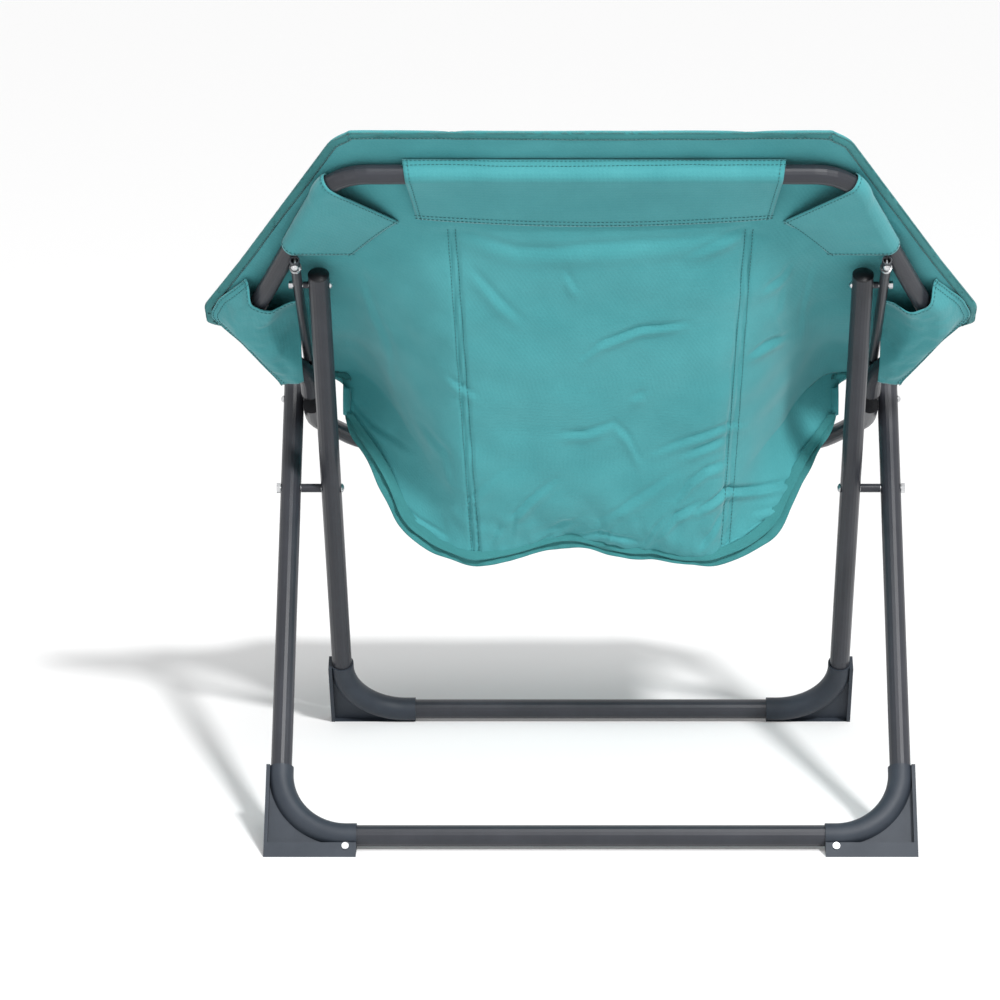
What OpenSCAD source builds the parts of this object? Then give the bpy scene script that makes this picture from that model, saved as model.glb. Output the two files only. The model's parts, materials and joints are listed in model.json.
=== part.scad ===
// Folding loveseat: two crossed steel leg frames, a hinged seat ring in two halves and a padded bucket seat.
// Millimetres. +X is one side, +Y is behind the sitter and +Z is up; the floor is at zero.

/* [Leg frames] */
// Outside diameter of the leg tubes
leg_d = 28; // [24:0.5:32]
// Wall thickness of the leg tubes
leg_wall = 1.5; // [1:0.1:2.5]
// Half the spacing of the inner pair of legs, which stand on the front bar
front_leg_x = 354.3; // [340:0.1:420]
// Clear gap between the inner and the outer leg at the pivot
pivot_gap = 27.2; // [26:0.1:40]
// Height of the pivot where the legs cross
pivot_z = 404; // [380:1:430]
// Distance from the pivot forwards to the front floor bar
front_reach = 215; // [200:1:235]
// Distance from the pivot backwards to the rear floor bar
rear_reach = 327; // [310:1:345]
// Length of the inner legs from the pivot up to the stay bolt
front_top_l = 368; // [360:1:380]
// Length of the outer legs from the pivot up to the bracket bolt
rear_top_l = 136; // [130:1:142]
// Tube left above the topmost bolt of an inner leg
front_tip_l = 16; // [12:1:20]
// Tube left above the topmost bolt of an outer leg
rear_tip_l = 18; // [12:1:20]
// Centre line radius of the bends at the floor
leg_bend_r = 88; // [70:1:110]

/* [Feet] */
// Wall of the moulded sleeve round each floor bend
foot_wall = 2.5; // [1.5:0.1:4]
// Thickness of the sole between the floor and the tube
sole_t = 4; // [3:0.5:8]
// Length of the sleeve above the bend
foot_up = 8; // [4:1:30]
// Length of the sleeve along the floor bar
foot_in = 14; // [6:1:40]
// Depth of the foot's rims, front to back
foot_depth = 26; // [18:1:34]
// Thickness of the recessed web that fills the corner
foot_web = 9; // [5:1:14]
// Width of the raised rim round the web
foot_rim = 5; // [3:0.5:8]

/* [Seat ring] */
// Outside diameter of the ring tube
ring_d = 25; // [20:0.5:28]
// Wall thickness of the ring tube
ring_wall = 1.2; // [1:0.1:2]
// Diameter of the side stays
stay_d = 13; // [11:0.5:15]
// Wall thickness of the side stays
stay_wall = 1.5; // [1:0.1:2.5]
// Distance along the stay from its top screw down from where the ring passes over the stay
screw_short_l = 22; // [16:1:26]
// Height of the ring's centre line over the stay at the stay's top
ring_lift = 20; // [19.5:0.1:26]
// Depth of the ring's centre line under the stay at the hinge
ring_drop = 24.6; // [22:0.1:27]
// Distance along the ring from the stay bolt up to the top bar
bar_over_bolt = 230.7; // [210:0.1:260]
// Half width at the corner between the top bar and the sides
back_top_x = 324; // [290:1:350]
// Half width at the widest corner of the ring
back_side_x = 459; // [440:1:490]
// Distance along the ring from the stay bolt down to the widest corner
corner_under_bolt = 113.3; // [100:0.1:125]
// Centre line radius of the back ring's bends
back_bend_r = 62; // [50:1:80]
// Tilt of the front half of the ring
front_tilt = 30; // [25:1:35]
// Depth of the front half's tube end under the hinge
front_drop = 33.4; // [31:0.1:38]
// Distance from the hinge forwards to the front bar
front_ring_l = 195; // [180:1:210]
// Half width at the corner between the front bar and the sides
front_top_x = 316; // [290:1:330]
// Centre line radius of the front ring's bends
front_bend_r = 80; // [60:1:90]

/* [Bolts] */
// Diameter of the leg pivot bolts
pivot_bolt_d = 8; // [6:0.5:10]
// Diameter of the stay, hinge and bracket bolts
small_bolt_d = 6; // [5:0.5:7]
// Radial clearance of a bolt in its hole
bolt_fit = 0.1; // [0.05:0.01:0.15]
// Thickness of the hinge brackets
bracket_t = 4; // [3:0.5:5]

/* [Seat] */
// Thickness of the padded seat
pad_t = 22; // [14:1:28]
// Thickness of the pad at its bound edge
pad_edge_t = 7; // [5:0.5:10]
// Distance that the back pad reaches beyond the ring's widest corner
pad_over_side = 53; // [45:1:60]
// Distance that the back pad reaches above the top bar
pad_over_top = 63; // [50:1:75]
// Half width of the bucket where it hangs between the inner legs
bucket_x = 332; // [320:0.5:334]
// Depth of the bucket's bottom seam below the hinge
bucket_depth = 241; // [200:1:260]
// Angle of the bottom seam's plane below the horizontal, seen from the side
bucket_a = 69.5; // [64:0.5:74]
// Thickness of the sewn sleeves and corner pockets
sleeve_t = 2; // [1.5:0.1:3]
// Half length of the sleeve on the top bar
top_sleeve_x = 236; // [180:1:250]
// Half length of the sleeve on the front bar
front_sleeve_x = 215; // [150:1:230]
// Depth of the top sleeve's flap below the bar
top_flap_l = 76; // [60:1:90]

/* [Hidden] */
$fn = 48;

// One overrun serves all cuts, and one clearance keeps moving faces apart
over = 1;
gap = 0.3;
half_turn = 180;
full_turn = 360;
tube_sides = 20;
bend_step = 12;
leg_bend_step = 7.5;
right_angle = 90;

// Colours
c_frame = [0.24, 0.25, 0.28];
c_foot = [0.17, 0.20, 0.24];
c_cap = [0.06, 0.06, 0.07];
c_zinc = [0.72, 0.73, 0.75];
c_fabric = [0.18, 0.52, 0.54];
c_pocket = [0.16, 0.47, 0.49];

// Side view of the leg frames, as [y, z]
bar_z = sole_t + leg_d / 2;
front_a = atan2(pivot_z - bar_z, front_reach);
rear_a = atan2(pivot_z - bar_z, rear_reach);
// Full lengths of the legs from the middle of the floor bar's bend
front_leg_l = norm([front_reach, pivot_z - bar_z]) + front_top_l + front_tip_l;
rear_leg_l = norm([rear_reach, pivot_z - bar_z]) + rear_top_l + rear_tip_l;
rear_leg_x = front_leg_x + leg_d + pivot_gap;
stay_x = (front_leg_x + rear_leg_x) / 2;
// The model's box is centred on zero from front to back
box_shift_share = 0.547;
pivot_y = -box_shift_share * (rear_reach - front_reach);
pivot = [pivot_y, pivot_z];
stay_bolt = pivot + front_top_l * [cos(front_a), sin(front_a)];
bracket_bolt = pivot + rear_top_l * [-cos(rear_a), sin(rear_a)];

// The stay and the bracket lie on one line when the seat is open, so their lengths follow from the legs
link_l = norm(stay_bolt - bracket_bolt);
stay_l = (link_l + front_top_l - rear_top_l) / 2;
bracket_l = (link_l - front_top_l + rear_top_l) / 2;
stay_a = atan2(stay_bolt.y - bracket_bolt.y, stay_bolt.x - bracket_bolt.x);
hinge = stay_bolt - stay_l * [cos(stay_a), sin(stay_a)];
back_ring_l = stay_l + bar_over_bolt;
back_side_l = stay_l - corner_under_bolt;
// Here the ring's side passes over the stay
cross_l = mix(back_ring_l, back_side_l, (stay_x - back_top_x) / (back_side_x - back_top_x));
stay_screw_l = cross_l - screw_short_l;
screw_set_back = 9;
stay_full_l = stay_screw_l + screw_set_back;
stay_tip = 2;
stay_end = stay_d / 2 + stay_tip;
saddle_gap = 1;

// The back ring's plane, against the stays
ring_off_a = atan2(ring_lift + ring_drop, stay_full_l);
ring_a = stay_a + ring_off_a;
ring_o = hinge + ring_drop * [sin(stay_a), -cos(stay_a)];
front_o = hinge - [0, front_drop];

// Half outlines of the two ring tubes in their own planes, from the bar to the hinge end
back_end_l = 15;
back_straight_l = 60;
back_path = [
    [back_top_x, back_ring_l], [back_side_x, back_side_l], [stay_x, back_straight_l], [stay_x, back_end_l]
];
front_straight_l = 66;
front_path = [[front_top_x, -front_ring_l], [stay_x, -front_straight_l], [stay_x, 0]];

// Bolt heads, nuts and caps
head_l = 4;
nut_l = 5;
nut_share = 1.8;
head_share = 1.65;
spacer_share = 1.5;
cap_plug_l = 10;
cap_rim_l = 2;
cap_dome_l = 5;
screw_d = 5;
screw_head_d = 10;
hinge_head_l = 3;
collar_l = 4;
collar_t = 1.4;
collar_back = 24;
plug_rim_l = 2;
plug_l = 12;
foot_screw_d = 5;
foot_screw_head_l = 1.6;
foot_screw_share = 1.9;
foot_screw_l = 5;
foot_screw_low = leg_d / 2 + foot_rim;
foot_fit = 0.2;
bracket_r = 9.5;
arc_steps = 8;
bracket_gap = 1.1;
pin_proud = 0.5;

// Where the pad lies over the ring, and where it has to clear the folded legs
rim_n = ring_d / 2 + sleeve_t + 2 * gap;
rim_rise = 5;
lobe_l = 110;
rim_flat_l = 200;
bar_clear_l = 9;
seam_gap = 0.5;
edge_strip = 4;
front_row_l = 178;
front_edge_l = 211;
front_edge_x = 288;
front_row_x = 316;
front_sag = 14;
// Outline of the back pad, as distance up the ring and half width
pad_half_w = back_side_x + pad_over_side;
pad_top_l = back_ring_l + pad_over_top;
corner_flat_l = 48;
corner_hi = back_side_l + corner_flat_l / 2;
corner_lo = back_side_l - corner_flat_l / 2;
edge_round_l = 17;
edge_round_x = 24;
pad_edge = [
    [0, bucket_x + edge_strip], [lobe_l, bucket_x + edge_strip],
    [corner_lo, pad_half_w], [corner_hi, pad_half_w],
    [pad_top_l - edge_round_l, back_top_x], [pad_top_l, back_top_x - edge_round_x]
];
// Rows of the back pad from its top edge down to the corner, as shares of the way
upper_row_share = [0, 0.04, 0.09, 0.14, 0.185, 0.28, 0.38, 0.5, 0.62, 0.74, 0.87, 1];
// Rows from the lobe, where the pad meets the legs, down to the bottom seam, as shares of the way
lobe_row_share = [0.12, 0.26, 0.42, 0.58, 0.72, 0.84, 0.94, 1];
// Rows of the front pad from the bottom seam to the front bar, and over the bar, as shares of the way
front_way_share = [0, 0.06, 0.16, 0.3, 0.46, 0.62, 0.78, 0.9, 1];
front_over_share = [0.4, 0.8, 1];
// Columns of a pad from the middle to the bucket's side, as shares; the channels lie at channel_share
col_share = [0, 0.2, 0.4, 0.56, 0.6, 0.64, 0.8, 0.92, 1];
channel_share = 0.6;
channel_depth_share = 0.55;
channel_w_share = 0.04;
rim_col_share = [0.5, 1];
flat_share = 0.48;
// Bottom seam: column share against half width and depth, as shares of the bucket's
seam_x_share = [
    [0, 0], [0.6, 0.51], [0.7, 0.655], [0.78, 0.774], [0.86, 0.836], [0.92, 0.917], [0.97, 1], [1, 1]
];
seam_r_share = [
    [0, 1], [0.6, 1], [0.7, 0.97], [0.78, 0.877], [0.86, 0.63], [0.92, 0.46], [0.97, 0.29], [1, 0.1]
];
seam_step_share = 0.02;
seam_t_share = 0.6;
seam_thin_share = 0.33;
seam_climb_share = 0.8;
// Side pocket: rows as shares of the corner's distance up the ring. Its edges and its rise stand against
// those rows, the edges as shares of the way from the stay to the pad's edge.
pocket_row_share = [0.233, 0.366, 0.532, 0.748, 0.948, 1.097, 1.297, 1.447, 1.596, 1.73];
pocket_in_share = [
    [0.233, 0.19], [0.366, 0.06], [1.394, 0.04], [1.447, 0.083], [1.514, 0.213], [1.73, 0.424]
];
pocket_out_share = [
    [0.233, 0.262], [0.748, 0.635], [0.948, 0.886], [1.097, 0.96], [1.297, 0.813], [1.73, 0.53]
];
pocket_rise_share = [[0.233, 0], [0.532, 0.5], [0.948, 0.95], [1.73, 0.95]];
pocket_col_share = [0, 0.25, 0.5, 0.75, 0.88, 1];
pocket_flat_share = 0.75;
// Corner patch: rows as shares of the way from the stay's crossing to the bar, and its inner edge against
// them as shares of the bar's half width. Past patch_flat_share its columns turn round the tube.
patch_row_share = [0, 0.1, 0.25, 0.385, 0.513, 0.64, 0.795, 0.95];
patch_in_share = [[0, 1], [0.1, 0.948], [0.513, 0.769], [0.95, 0.948]];
patch_col_share = [0, 0.35, 0.7, 0.775, 0.85, 0.925, 1];
patch_flat_share = 0.7;
patch_loose = 0.5;

function unit(v) = v / norm(v);
function turn(u, v) = atan2(u.x * v.y - u.y * v.x, u * v);
function ends(pts, i) = i == 0 || i == len(pts) - 1;
function corner(pts, i) = turn(pts[i] - pts[i - 1], pts[i + 1] - pts[i]);
function set_back(pts, i, r) = ends(pts, i) ? 0 : r * tan(abs(corner(pts, i)) / 2);
function backwards(list) = [for (i = [len(list) - 1:-1:0]) list[i]];
function smooth(t) = let (c = max(0, min(1, t))) c * c * (3 - 2 * c);
function mix(a, b, t) = a + (b - a) * t;
function both_halves(half) = concat([for (p = backwards(half)) [-p.x, p.y]], half);

module both_sides() {
    children();
    mirror([1, 0, 0]) children();
}

// A round rod along a flat path with even bends
module rod_path(pts, r, d, beyond = 0) {
    last = len(pts) - 1;
    for (i = [0:last - 1]) {
        u = unit(pts[i + 1] - pts[i]);
        a = pts[i] + u * (i == 0 ? -beyond : set_back(pts, i, r));
        b = pts[i + 1] - u * (i == last - 1 ? -beyond : set_back(pts, i + 1, r));
        translate([a.x, a.y, 0]) rotate([0, right_angle, atan2(u.y, u.x)]) cylinder(h = norm(b - a), d = d);
    }
    if (last > 1) for (i = [1:last - 1]) {
        u = unit(pts[i] - pts[i - 1]);
        v = unit(pts[i + 1] - pts[i]);
        s = turn(u, v);
        c = pts[i] - u * set_back(pts, i, r) + sign(s) * r * [-u.y, u.x];
        start = s > 0 ? atan2(-u.x, u.y) : atan2(v.x, -v.y);
        translate([c.x, c.y, 0]) rotate([0, 0, start])
            rotate_extrude(angle = abs(s)) translate([r, 0]) circle(d = d);
    }
}

// Stations along a flat path with even bends: place and direction of travel
function stations(pts, r, step) = [for (i = [0:len(pts) - 1]) each ends(pts, i)
    ? [[pts[i], unit(i == 0 ? pts[1] - pts[0] : pts[i] - pts[i - 1])]]
    : let (
        u = unit(pts[i] - pts[i - 1]),
        s = turn(u, unit(pts[i + 1] - pts[i])),
        c = pts[i] - u * set_back(pts, i, r) + sign(s) * r * [-u.y, u.x],
        steps = ceil(abs(s) / step)
    ) [for (k = [0:steps]) let (a = s * k / steps, e = sign(s) * r * [u.y, -u.x]) [
        c + [e.x * cos(a) - e.y * sin(a), e.x * sin(a) + e.y * cos(a)],
        [u.x * cos(a) - u.y * sin(a), u.x * sin(a) + u.y * cos(a)]
    ]]];
function loop_at(st, r) = [for (k = [0:tube_sides - 1]) let (a = k * full_turn / tube_sides)
    [st[0].x - st[1].y * r * cos(a), st[0].y + st[1].x * r * cos(a), r * sin(a)]];

// A bent tube in one piece: its outer skin, then back along its bore
module bent_tube(pts, r, d, wall, step) {
    st = stations(pts, r, step);
    loops = concat([for (q = st) loop_at(q, d / 2)], [for (q = backwards(st)) loop_at(q, d / 2 - wall)]);
    n = len(loops);
    m = tube_sides;
    polyhedron(
        points = [for (l = loops) each l],
        faces = [for (i = [0:n - 1]) for (j = [0:m - 1]) let (
            next = ((i + 1) % n) * m,
            a = i * m + j, b = i * m + (j + 1) % m, c = next + j, e = next + (j + 1) % m
        ) each [[a, e, b], [a, c, e]]],
        convexity = 8
    );
}

// Frames of reference
module at_front_bar() {
    translate([0, pivot_y - front_reach, bar_z]) rotate([front_a, 0, 0]) children();
}
module at_rear_bar() {
    translate([0, pivot_y + rear_reach, bar_z]) rotate([half_turn - rear_a, 0, 0]) children();
}
module at_side(p, x) {
    translate([x, p.x, p.y]) rotate([0, right_angle, 0]) children();
}
module on_stay() {
    translate([0, hinge.x, hinge.y]) rotate([stay_a, 0, 0]) children();
}
module on_ring() {
    translate([0, ring_o.x, ring_o.y]) rotate([ring_a, 0, 0]) children();
}
module on_front_ring() {
    translate([0, front_o.x, front_o.y]) rotate([front_tilt, 0, 0]) children();
}

// A pair of legs and their floor bar, bent from one tube
module leg_tube(x, l) {
    bent_tube([[-x, l], [-x, 0], [x, 0], [x, l]], leg_bend_r, leg_d, leg_wall, leg_bend_step);
}

module leg_cap(x, l) {
    plug_d = leg_d - 2 * leg_wall - 2 * gap;
    dome_r = (pow(leg_d / 2, 2) + pow(cap_dome_l, 2)) / (2 * cap_dome_l);
    translate([x, l, 0]) rotate([-right_angle, 0, 0]) {
        translate([0, 0, -cap_plug_l]) cylinder(h = cap_plug_l, d = plug_d);
        cylinder(h = cap_rim_l, d = leg_d);
        translate([0, 0, cap_rim_l]) rotate_extrude() intersection() {
            translate([0, cap_dome_l - dome_r]) circle(r = dome_r);
            square([leg_d / 2, cap_dome_l]);
        }
    }
}

// Moulded foot round a floor bend: a sleeve, a recessed web in the corner and rims down to a flat sole
module foot(x) {
    sleeve_d = leg_d + 2 * foot_wall;
    out_x = x + sleeve_d / 2 + foot_rim / 2;
    in_x = x - leg_bend_r - foot_in;
    top = leg_bend_r + foot_up;
    low = leg_d + sole_t + foot_depth / 2;
    centre = [x - leg_bend_r, leg_bend_r];
    difference() {
        union() {
            rod_path([[in_x, 0], [x, 0], [x, top]], leg_bend_r, sleeve_d);
            translate([0, 0, -foot_web / 2]) linear_extrude(foot_web) difference() {
                translate([centre.x, -low]) square([out_x - centre.x, low + leg_bend_r]);
                translate(centre) circle(r = leg_bend_r);
                translate([centre.x - over, 0]) square([over, leg_bend_r]);
            }
            translate([out_x - foot_rim, -low, -foot_depth / 2]) cube([foot_rim, low + top, foot_depth]);
            translate([in_x, -low, -foot_depth / 2]) cube([out_x - in_x, low - leg_d / 2, foot_depth]);
        }
        rod_path([[in_x, 0], [x, 0], [x, top]], leg_bend_r, leg_d + 2 * foot_fit, over);
        foot_screw(x, foot_screw_d + 2 * bolt_fit, foot_screw_d + 2 * bolt_fit);
    }
}

module above_floor() {
    difference() {
        children();
        translate([-rear_leg_x * 2, -rear_reach * 2, -rear_reach])
            cube([rear_leg_x * 4, rear_reach * 4, rear_reach]);
    }
}

module cross_hole(p, x, d, l) {
    at_side(p, x) cylinder(h = l, d = d + 2 * bolt_fit, center = true);
}

// Bolt from a domed head to a nut, pointing along +X from the head's seat
module bolt(p, x0, x1, d, nut = true) {
    head_r = head_share * d / 2;
    ball_r = (head_r * head_r + head_l * head_l) / (2 * head_l);
    at_side(p, x0) {
        cylinder(h = x1 - x0 + (nut ? nut_l : 0), d = d);
        mirror([0, 0, 1]) rotate_extrude() intersection() {
            translate([0, head_l - ball_r]) circle(r = ball_r);
            square([head_r, head_l]);
        }
    }
    if (nut) at_side(p, x1) cylinder(h = nut_l, d = nut_share * d, $fn = 6);
}

module ring_of(p, x0, x1, d, bore) {
    at_side(p, x0) difference() {
        cylinder(h = x1 - x0, d = d);
        translate([0, 0, -over]) cylinder(h = x1 - x0 + 2 * over, d = bore);
    }
}

// Inner pair of legs, standing on the front bar
module front_leg_frame() {
    color(c_frame) difference() {
        at_front_bar() leg_tube(front_leg_x, front_leg_l);
        both_sides() {
            cross_hole(pivot, front_leg_x, pivot_bolt_d, 2 * leg_d);
            cross_hole(stay_bolt, front_leg_x, small_bolt_d, 2 * leg_d);
        }
    }
}
module front_foot() {
    color(c_foot) above_floor() at_front_bar() foot(front_leg_x);
}
module front_left_foot() {
    mirror([1, 0, 0]) front_foot();
}
module front_right_foot() {
    front_foot();
}
module front_leg_caps() {
    color(c_cap) both_sides() at_front_bar() leg_cap(front_leg_x, front_leg_l);
}
module leg_pivot_bolts() {
    color(c_zinc) both_sides()
        bolt(pivot, front_leg_x - leg_d / 2, rear_leg_x + leg_d / 2 + gap, pivot_bolt_d);
}
module leg_pivot_spacers() {
    color(c_frame) both_sides()
        ring_of(pivot, front_leg_x + leg_d / 2, rear_leg_x - leg_d / 2 - gap, spacer_share * pivot_bolt_d,
            pivot_bolt_d + 2 * bolt_fit);
}
module stay_bolts() {
    color(c_zinc) both_sides()
        bolt(stay_bolt, front_leg_x - leg_d / 2, stay_x + stay_d / 2 + gap, small_bolt_d);
}
module stay_spacers() {
    color(c_frame) both_sides()
        ring_of(stay_bolt, front_leg_x + leg_d / 2, stay_x - stay_d / 2 - gap, spacer_share * small_bolt_d,
            small_bolt_d + 2 * bolt_fit);
}

// Screw in the foot's low rim, on the side that faces away from the pivot
module foot_screw(x, d, head_d) {
    translate([x - leg_bend_r, -foot_screw_low, 0]) {
        translate([0, 0, foot_depth / 2 - foot_screw_l])
            cylinder(h = foot_screw_l + foot_screw_head_l, d = d);
        translate([0, 0, foot_depth / 2]) cylinder(h = foot_screw_head_l, d = head_d);
    }
}
module front_foot_screws() {
    color(c_zinc) both_sides() at_front_bar()
        foot_screw(front_leg_x, foot_screw_d, foot_screw_share * foot_screw_d);
}

// Outer pair of legs, standing on the rear bar
module rear_leg_frame() {
    color(c_frame) difference() {
        at_rear_bar() leg_tube(rear_leg_x, rear_leg_l);
        both_sides() {
            cross_hole(pivot, rear_leg_x, pivot_bolt_d, 2 * leg_d);
            cross_hole(bracket_bolt, rear_leg_x, small_bolt_d, 2 * leg_d);
        }
    }
}
module rear_foot() {
    color(c_foot) above_floor() at_rear_bar() mirror([0, 0, 1]) foot(rear_leg_x);
}
module rear_left_foot() {
    mirror([1, 0, 0]) rear_foot();
}
module rear_right_foot() {
    rear_foot();
}
module rear_leg_caps() {
    color(c_cap) both_sides() at_rear_bar() leg_cap(rear_leg_x, rear_leg_l);
}
// The bolt's tip ends just inside the leg, short of the bracket that it carries
module bracket_bolts() {
    tip_x = rear_leg_x - leg_d / 2 - gap;
    color(c_zinc) both_sides() mirror([1, 0, 0])
        bolt(bracket_bolt, -rear_leg_x - leg_d / 2, -tip_x, small_bolt_d, nut = false);
}

module rear_foot_screws() {
    color(c_zinc) both_sides() at_rear_bar() mirror([0, 0, 1])
        foot_screw(rear_leg_x, foot_screw_d, foot_screw_share * foot_screw_d);
}

// Back half of the ring with its stays
module ring_screw_hole(d) {
    on_stay() translate([stay_x, stay_screw_l, 0])
        cylinder(h = ring_lift, d = d);
}
module back_ring_tube() {
    color(c_frame) difference() {
        on_ring() bent_tube(both_halves(back_path), back_bend_r, ring_d, ring_wall, bend_step);
        both_sides() ring_screw_hole(screw_d + 2 * bolt_fit);
    }
}
module ring_plug() {
    mirror([0, 1, 0]) rotate([-right_angle, 0, 0]) {
        translate([0, 0, -plug_l]) cylinder(h = plug_l, d = ring_d - 2 * ring_wall - 2 * gap);
        cylinder(h = plug_rim_l, d = ring_d);
    }
}
module back_ring_plugs() {
    color(c_cap) both_sides() on_ring() translate([stay_x, back_end_l, 0]) ring_plug();
}
module front_ring_plugs() {
    color(c_cap) both_sides() on_front_ring() translate([stay_x, 0, 0]) mirror([0, 1, 0]) ring_plug();
}
module stay_collars() {
    color(c_zinc) both_sides() on_stay() translate([stay_x, stay_full_l - collar_back, 0])
        rotate([-right_angle, 0, 0]) difference() {
            cylinder(h = collar_l, d = stay_d + 2 * collar_t);
            translate([0, 0, -over]) cylinder(h = collar_l + 2 * over, d = stay_d);
        }
}
module stay() {
    full_l = stay_end + stay_full_l;
    color(c_frame) difference() {
        on_stay() translate([stay_x, -stay_end, 0]) rotate([-right_angle, 0, 0]) difference() {
            cylinder(h = full_l, d = stay_d);
            translate([0, 0, -over]) cylinder(h = full_l + 2 * over, d = stay_d - 2 * stay_wall);
        }
        cross_hole(hinge, stay_x, small_bolt_d, 2 * stay_d);
        cross_hole(stay_bolt, stay_x, small_bolt_d, 2 * stay_d);
        on_stay() translate([stay_x, stay_screw_l, 0])
            cylinder(h = 2 * stay_d, d = screw_d + 2 * bolt_fit, center = true);
        // Saddle where the stay lies on the ring tube's end
        on_ring() translate([stay_x, back_end_l - ring_d, 0]) rotate([-right_angle, 0, 0])
            cylinder(h = back_straight_l + ring_d, d = ring_d + 2 * saddle_gap);
    }
}
module left_stay() {
    mirror([1, 0, 0]) stay();
}
module right_stay() {
    stay();
}
module stay_screws() {
    ball_r = (pow(screw_head_d / 2, 2) + pow(head_l, 2)) / (2 * head_l);
    color(c_zinc) both_sides() on_stay() translate([stay_x, stay_screw_l, -stay_d / 2]) {
        cylinder(h = stay_d / 2 + ring_lift - ring_d / 2 + 2 * ring_wall, d = screw_d);
        mirror([0, 0, 1]) rotate_extrude() intersection() {
            translate([0, head_l - ball_r]) circle(r = ball_r);
            square([screw_head_d / 2, head_l]);
        }
    }
}
module hinge_pins() {
    pin_x = stay_x - stay_d / 2;
    tip_x = rear_leg_x - leg_d / 2 - bracket_gap + pin_proud;
    color(c_zinc) both_sides() {
        at_side(hinge, pin_x - hinge_head_l)
            cylinder(h = hinge_head_l, d = head_share * small_bolt_d);
        at_side(hinge, pin_x) cylinder(h = tip_x - pin_x, d = small_bolt_d);
    }
}

// Front half of the ring with its hinge brackets
module front_ring_tube() {
    color(c_frame) on_front_ring()
        bent_tube(both_halves(front_path), front_bend_r, ring_d, ring_wall, bend_step);
}
// A flat plate from the hinge to the outer leg's bolt, whose lower edge is welded along the ring tube
function arc_about(p, r, a0, a1) = [
    for (k = [0:arc_steps]) let (a = mix(a0, a1, k / arc_steps)) p + r * [cos(a), sin(a)]
];
module hinge_bracket() {
    plate_x = rear_leg_x - leg_d / 2 - bracket_gap - bracket_t;
    seat_n = sqrt(pow(ring_d / 2, 2) - pow(plate_x - stay_x, 2)) + bolt_fit;
    color(c_frame) difference() {
        translate([plate_x, 0, 0]) rotate([right_angle, 0, right_angle]) linear_extrude(bracket_t)
            polygon(concat(
                arc_about(hinge, bracket_r, front_tilt - right_angle, stay_a + right_angle),
                arc_about(bracket_bolt, bracket_r, stay_a + right_angle, stay_a + half_turn),
                [front_yz(bracket_l + bracket_r, seat_n), front_yz(0, seat_n)]
            ));
        cross_hole(hinge, plate_x, small_bolt_d, leg_d);
        cross_hole(bracket_bolt, plate_x, small_bolt_d, leg_d);
    }
}
module left_hinge_bracket() {
    mirror([1, 0, 0]) hinge_bracket();
}
module right_hinge_bracket() {
    hinge_bracket();
}

// Half width of the back pad, and the bucket's half width under it
function pad_x(t) = lookup(t, pad_edge);
function inner_x(t) = min(bucket_x, pad_x(t) - edge_strip);
// Height of the pad's rim and of the middle of its back over the ring's plane
function pad_rim(t) = rim_n + rim_rise * smooth((rim_flat_l - t) / (rim_flat_l - lobe_l));
belly_l = back_ring_l - bar_clear_l;
belly_bend_l = 4 * ring_d;

// Ring-plane places of a depth down the bottom seam's plane
seam_down = [cos(bucket_a), -sin(bucket_a)];
seam_side = [sin(bucket_a), cos(bucket_a)];
function ring_tn(p) = let (d = p - ring_o) [
    d.x * cos(ring_a) + d.y * sin(ring_a), -d.x * sin(ring_a) + d.y * cos(ring_a)
];
function front_tn(p) = let (d = p - front_o) [
    d.x * cos(front_tilt) + d.y * sin(front_tilt), -d.x * sin(front_tilt) + d.y * cos(front_tilt)
];
seam_low = ring_tn(hinge + bucket_depth * seam_down);
belly_slope = (rim_n - seam_low.y) / (belly_l - seam_low.x);
function belly(t) = rim_n - belly_slope * max(0, belly_l - t) * smooth(0.5 + (belly_l - t) / belly_bend_l);
function section(c) = 1 - smooth((c - flat_share) / (1 - flat_share));

// World side view places of ring-plane places
function ring_yz(t, n) = ring_o + t * [cos(ring_a), sin(ring_a)] + n * [-sin(ring_a), cos(ring_a)];
function front_yz(s, n) = front_o
    - s * [cos(front_tilt), sin(front_tilt)] + n * [-sin(front_tilt), cos(front_tilt)];
function place(x, yz) = [x, yz.x, yz.y];

// Bottom seam, with the direction across its edge into the bucket
function seam_x(c) = bucket_x * lookup(c, seam_x_share);
function seam_r(c) = bucket_depth * lookup(c, seam_r_share);
function seam_point(k, side) = let (r = seam_r(k[0]) * (1 - seam_climb_share * k[1]))
    place(seam_x(k[0]), hinge + r * seam_down + side * seam_gap / 2 * seam_side);
function seam_in(c) = let (
    a = max(0, c - seam_step_share),
    b = min(1, c + seam_step_share),
    dx = seam_x(b) - seam_x(a),
    du = seam_r(a) - seam_r(b),
    v = unit([-du, dx])
) [v.x, -v.y * seam_down.x, -v.y * seam_down.y];

// Padding: thin at the edges, full between, drawn in along the two channels
function crown(d, reach) = sqrt(1 - pow(1 - max(0, min(1, d / reach)), 2));
function channel(c) = 1 - channel_depth_share * max(0, 1 - abs(c - channel_share) / channel_w_share);
crown_reach = 60;

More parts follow.
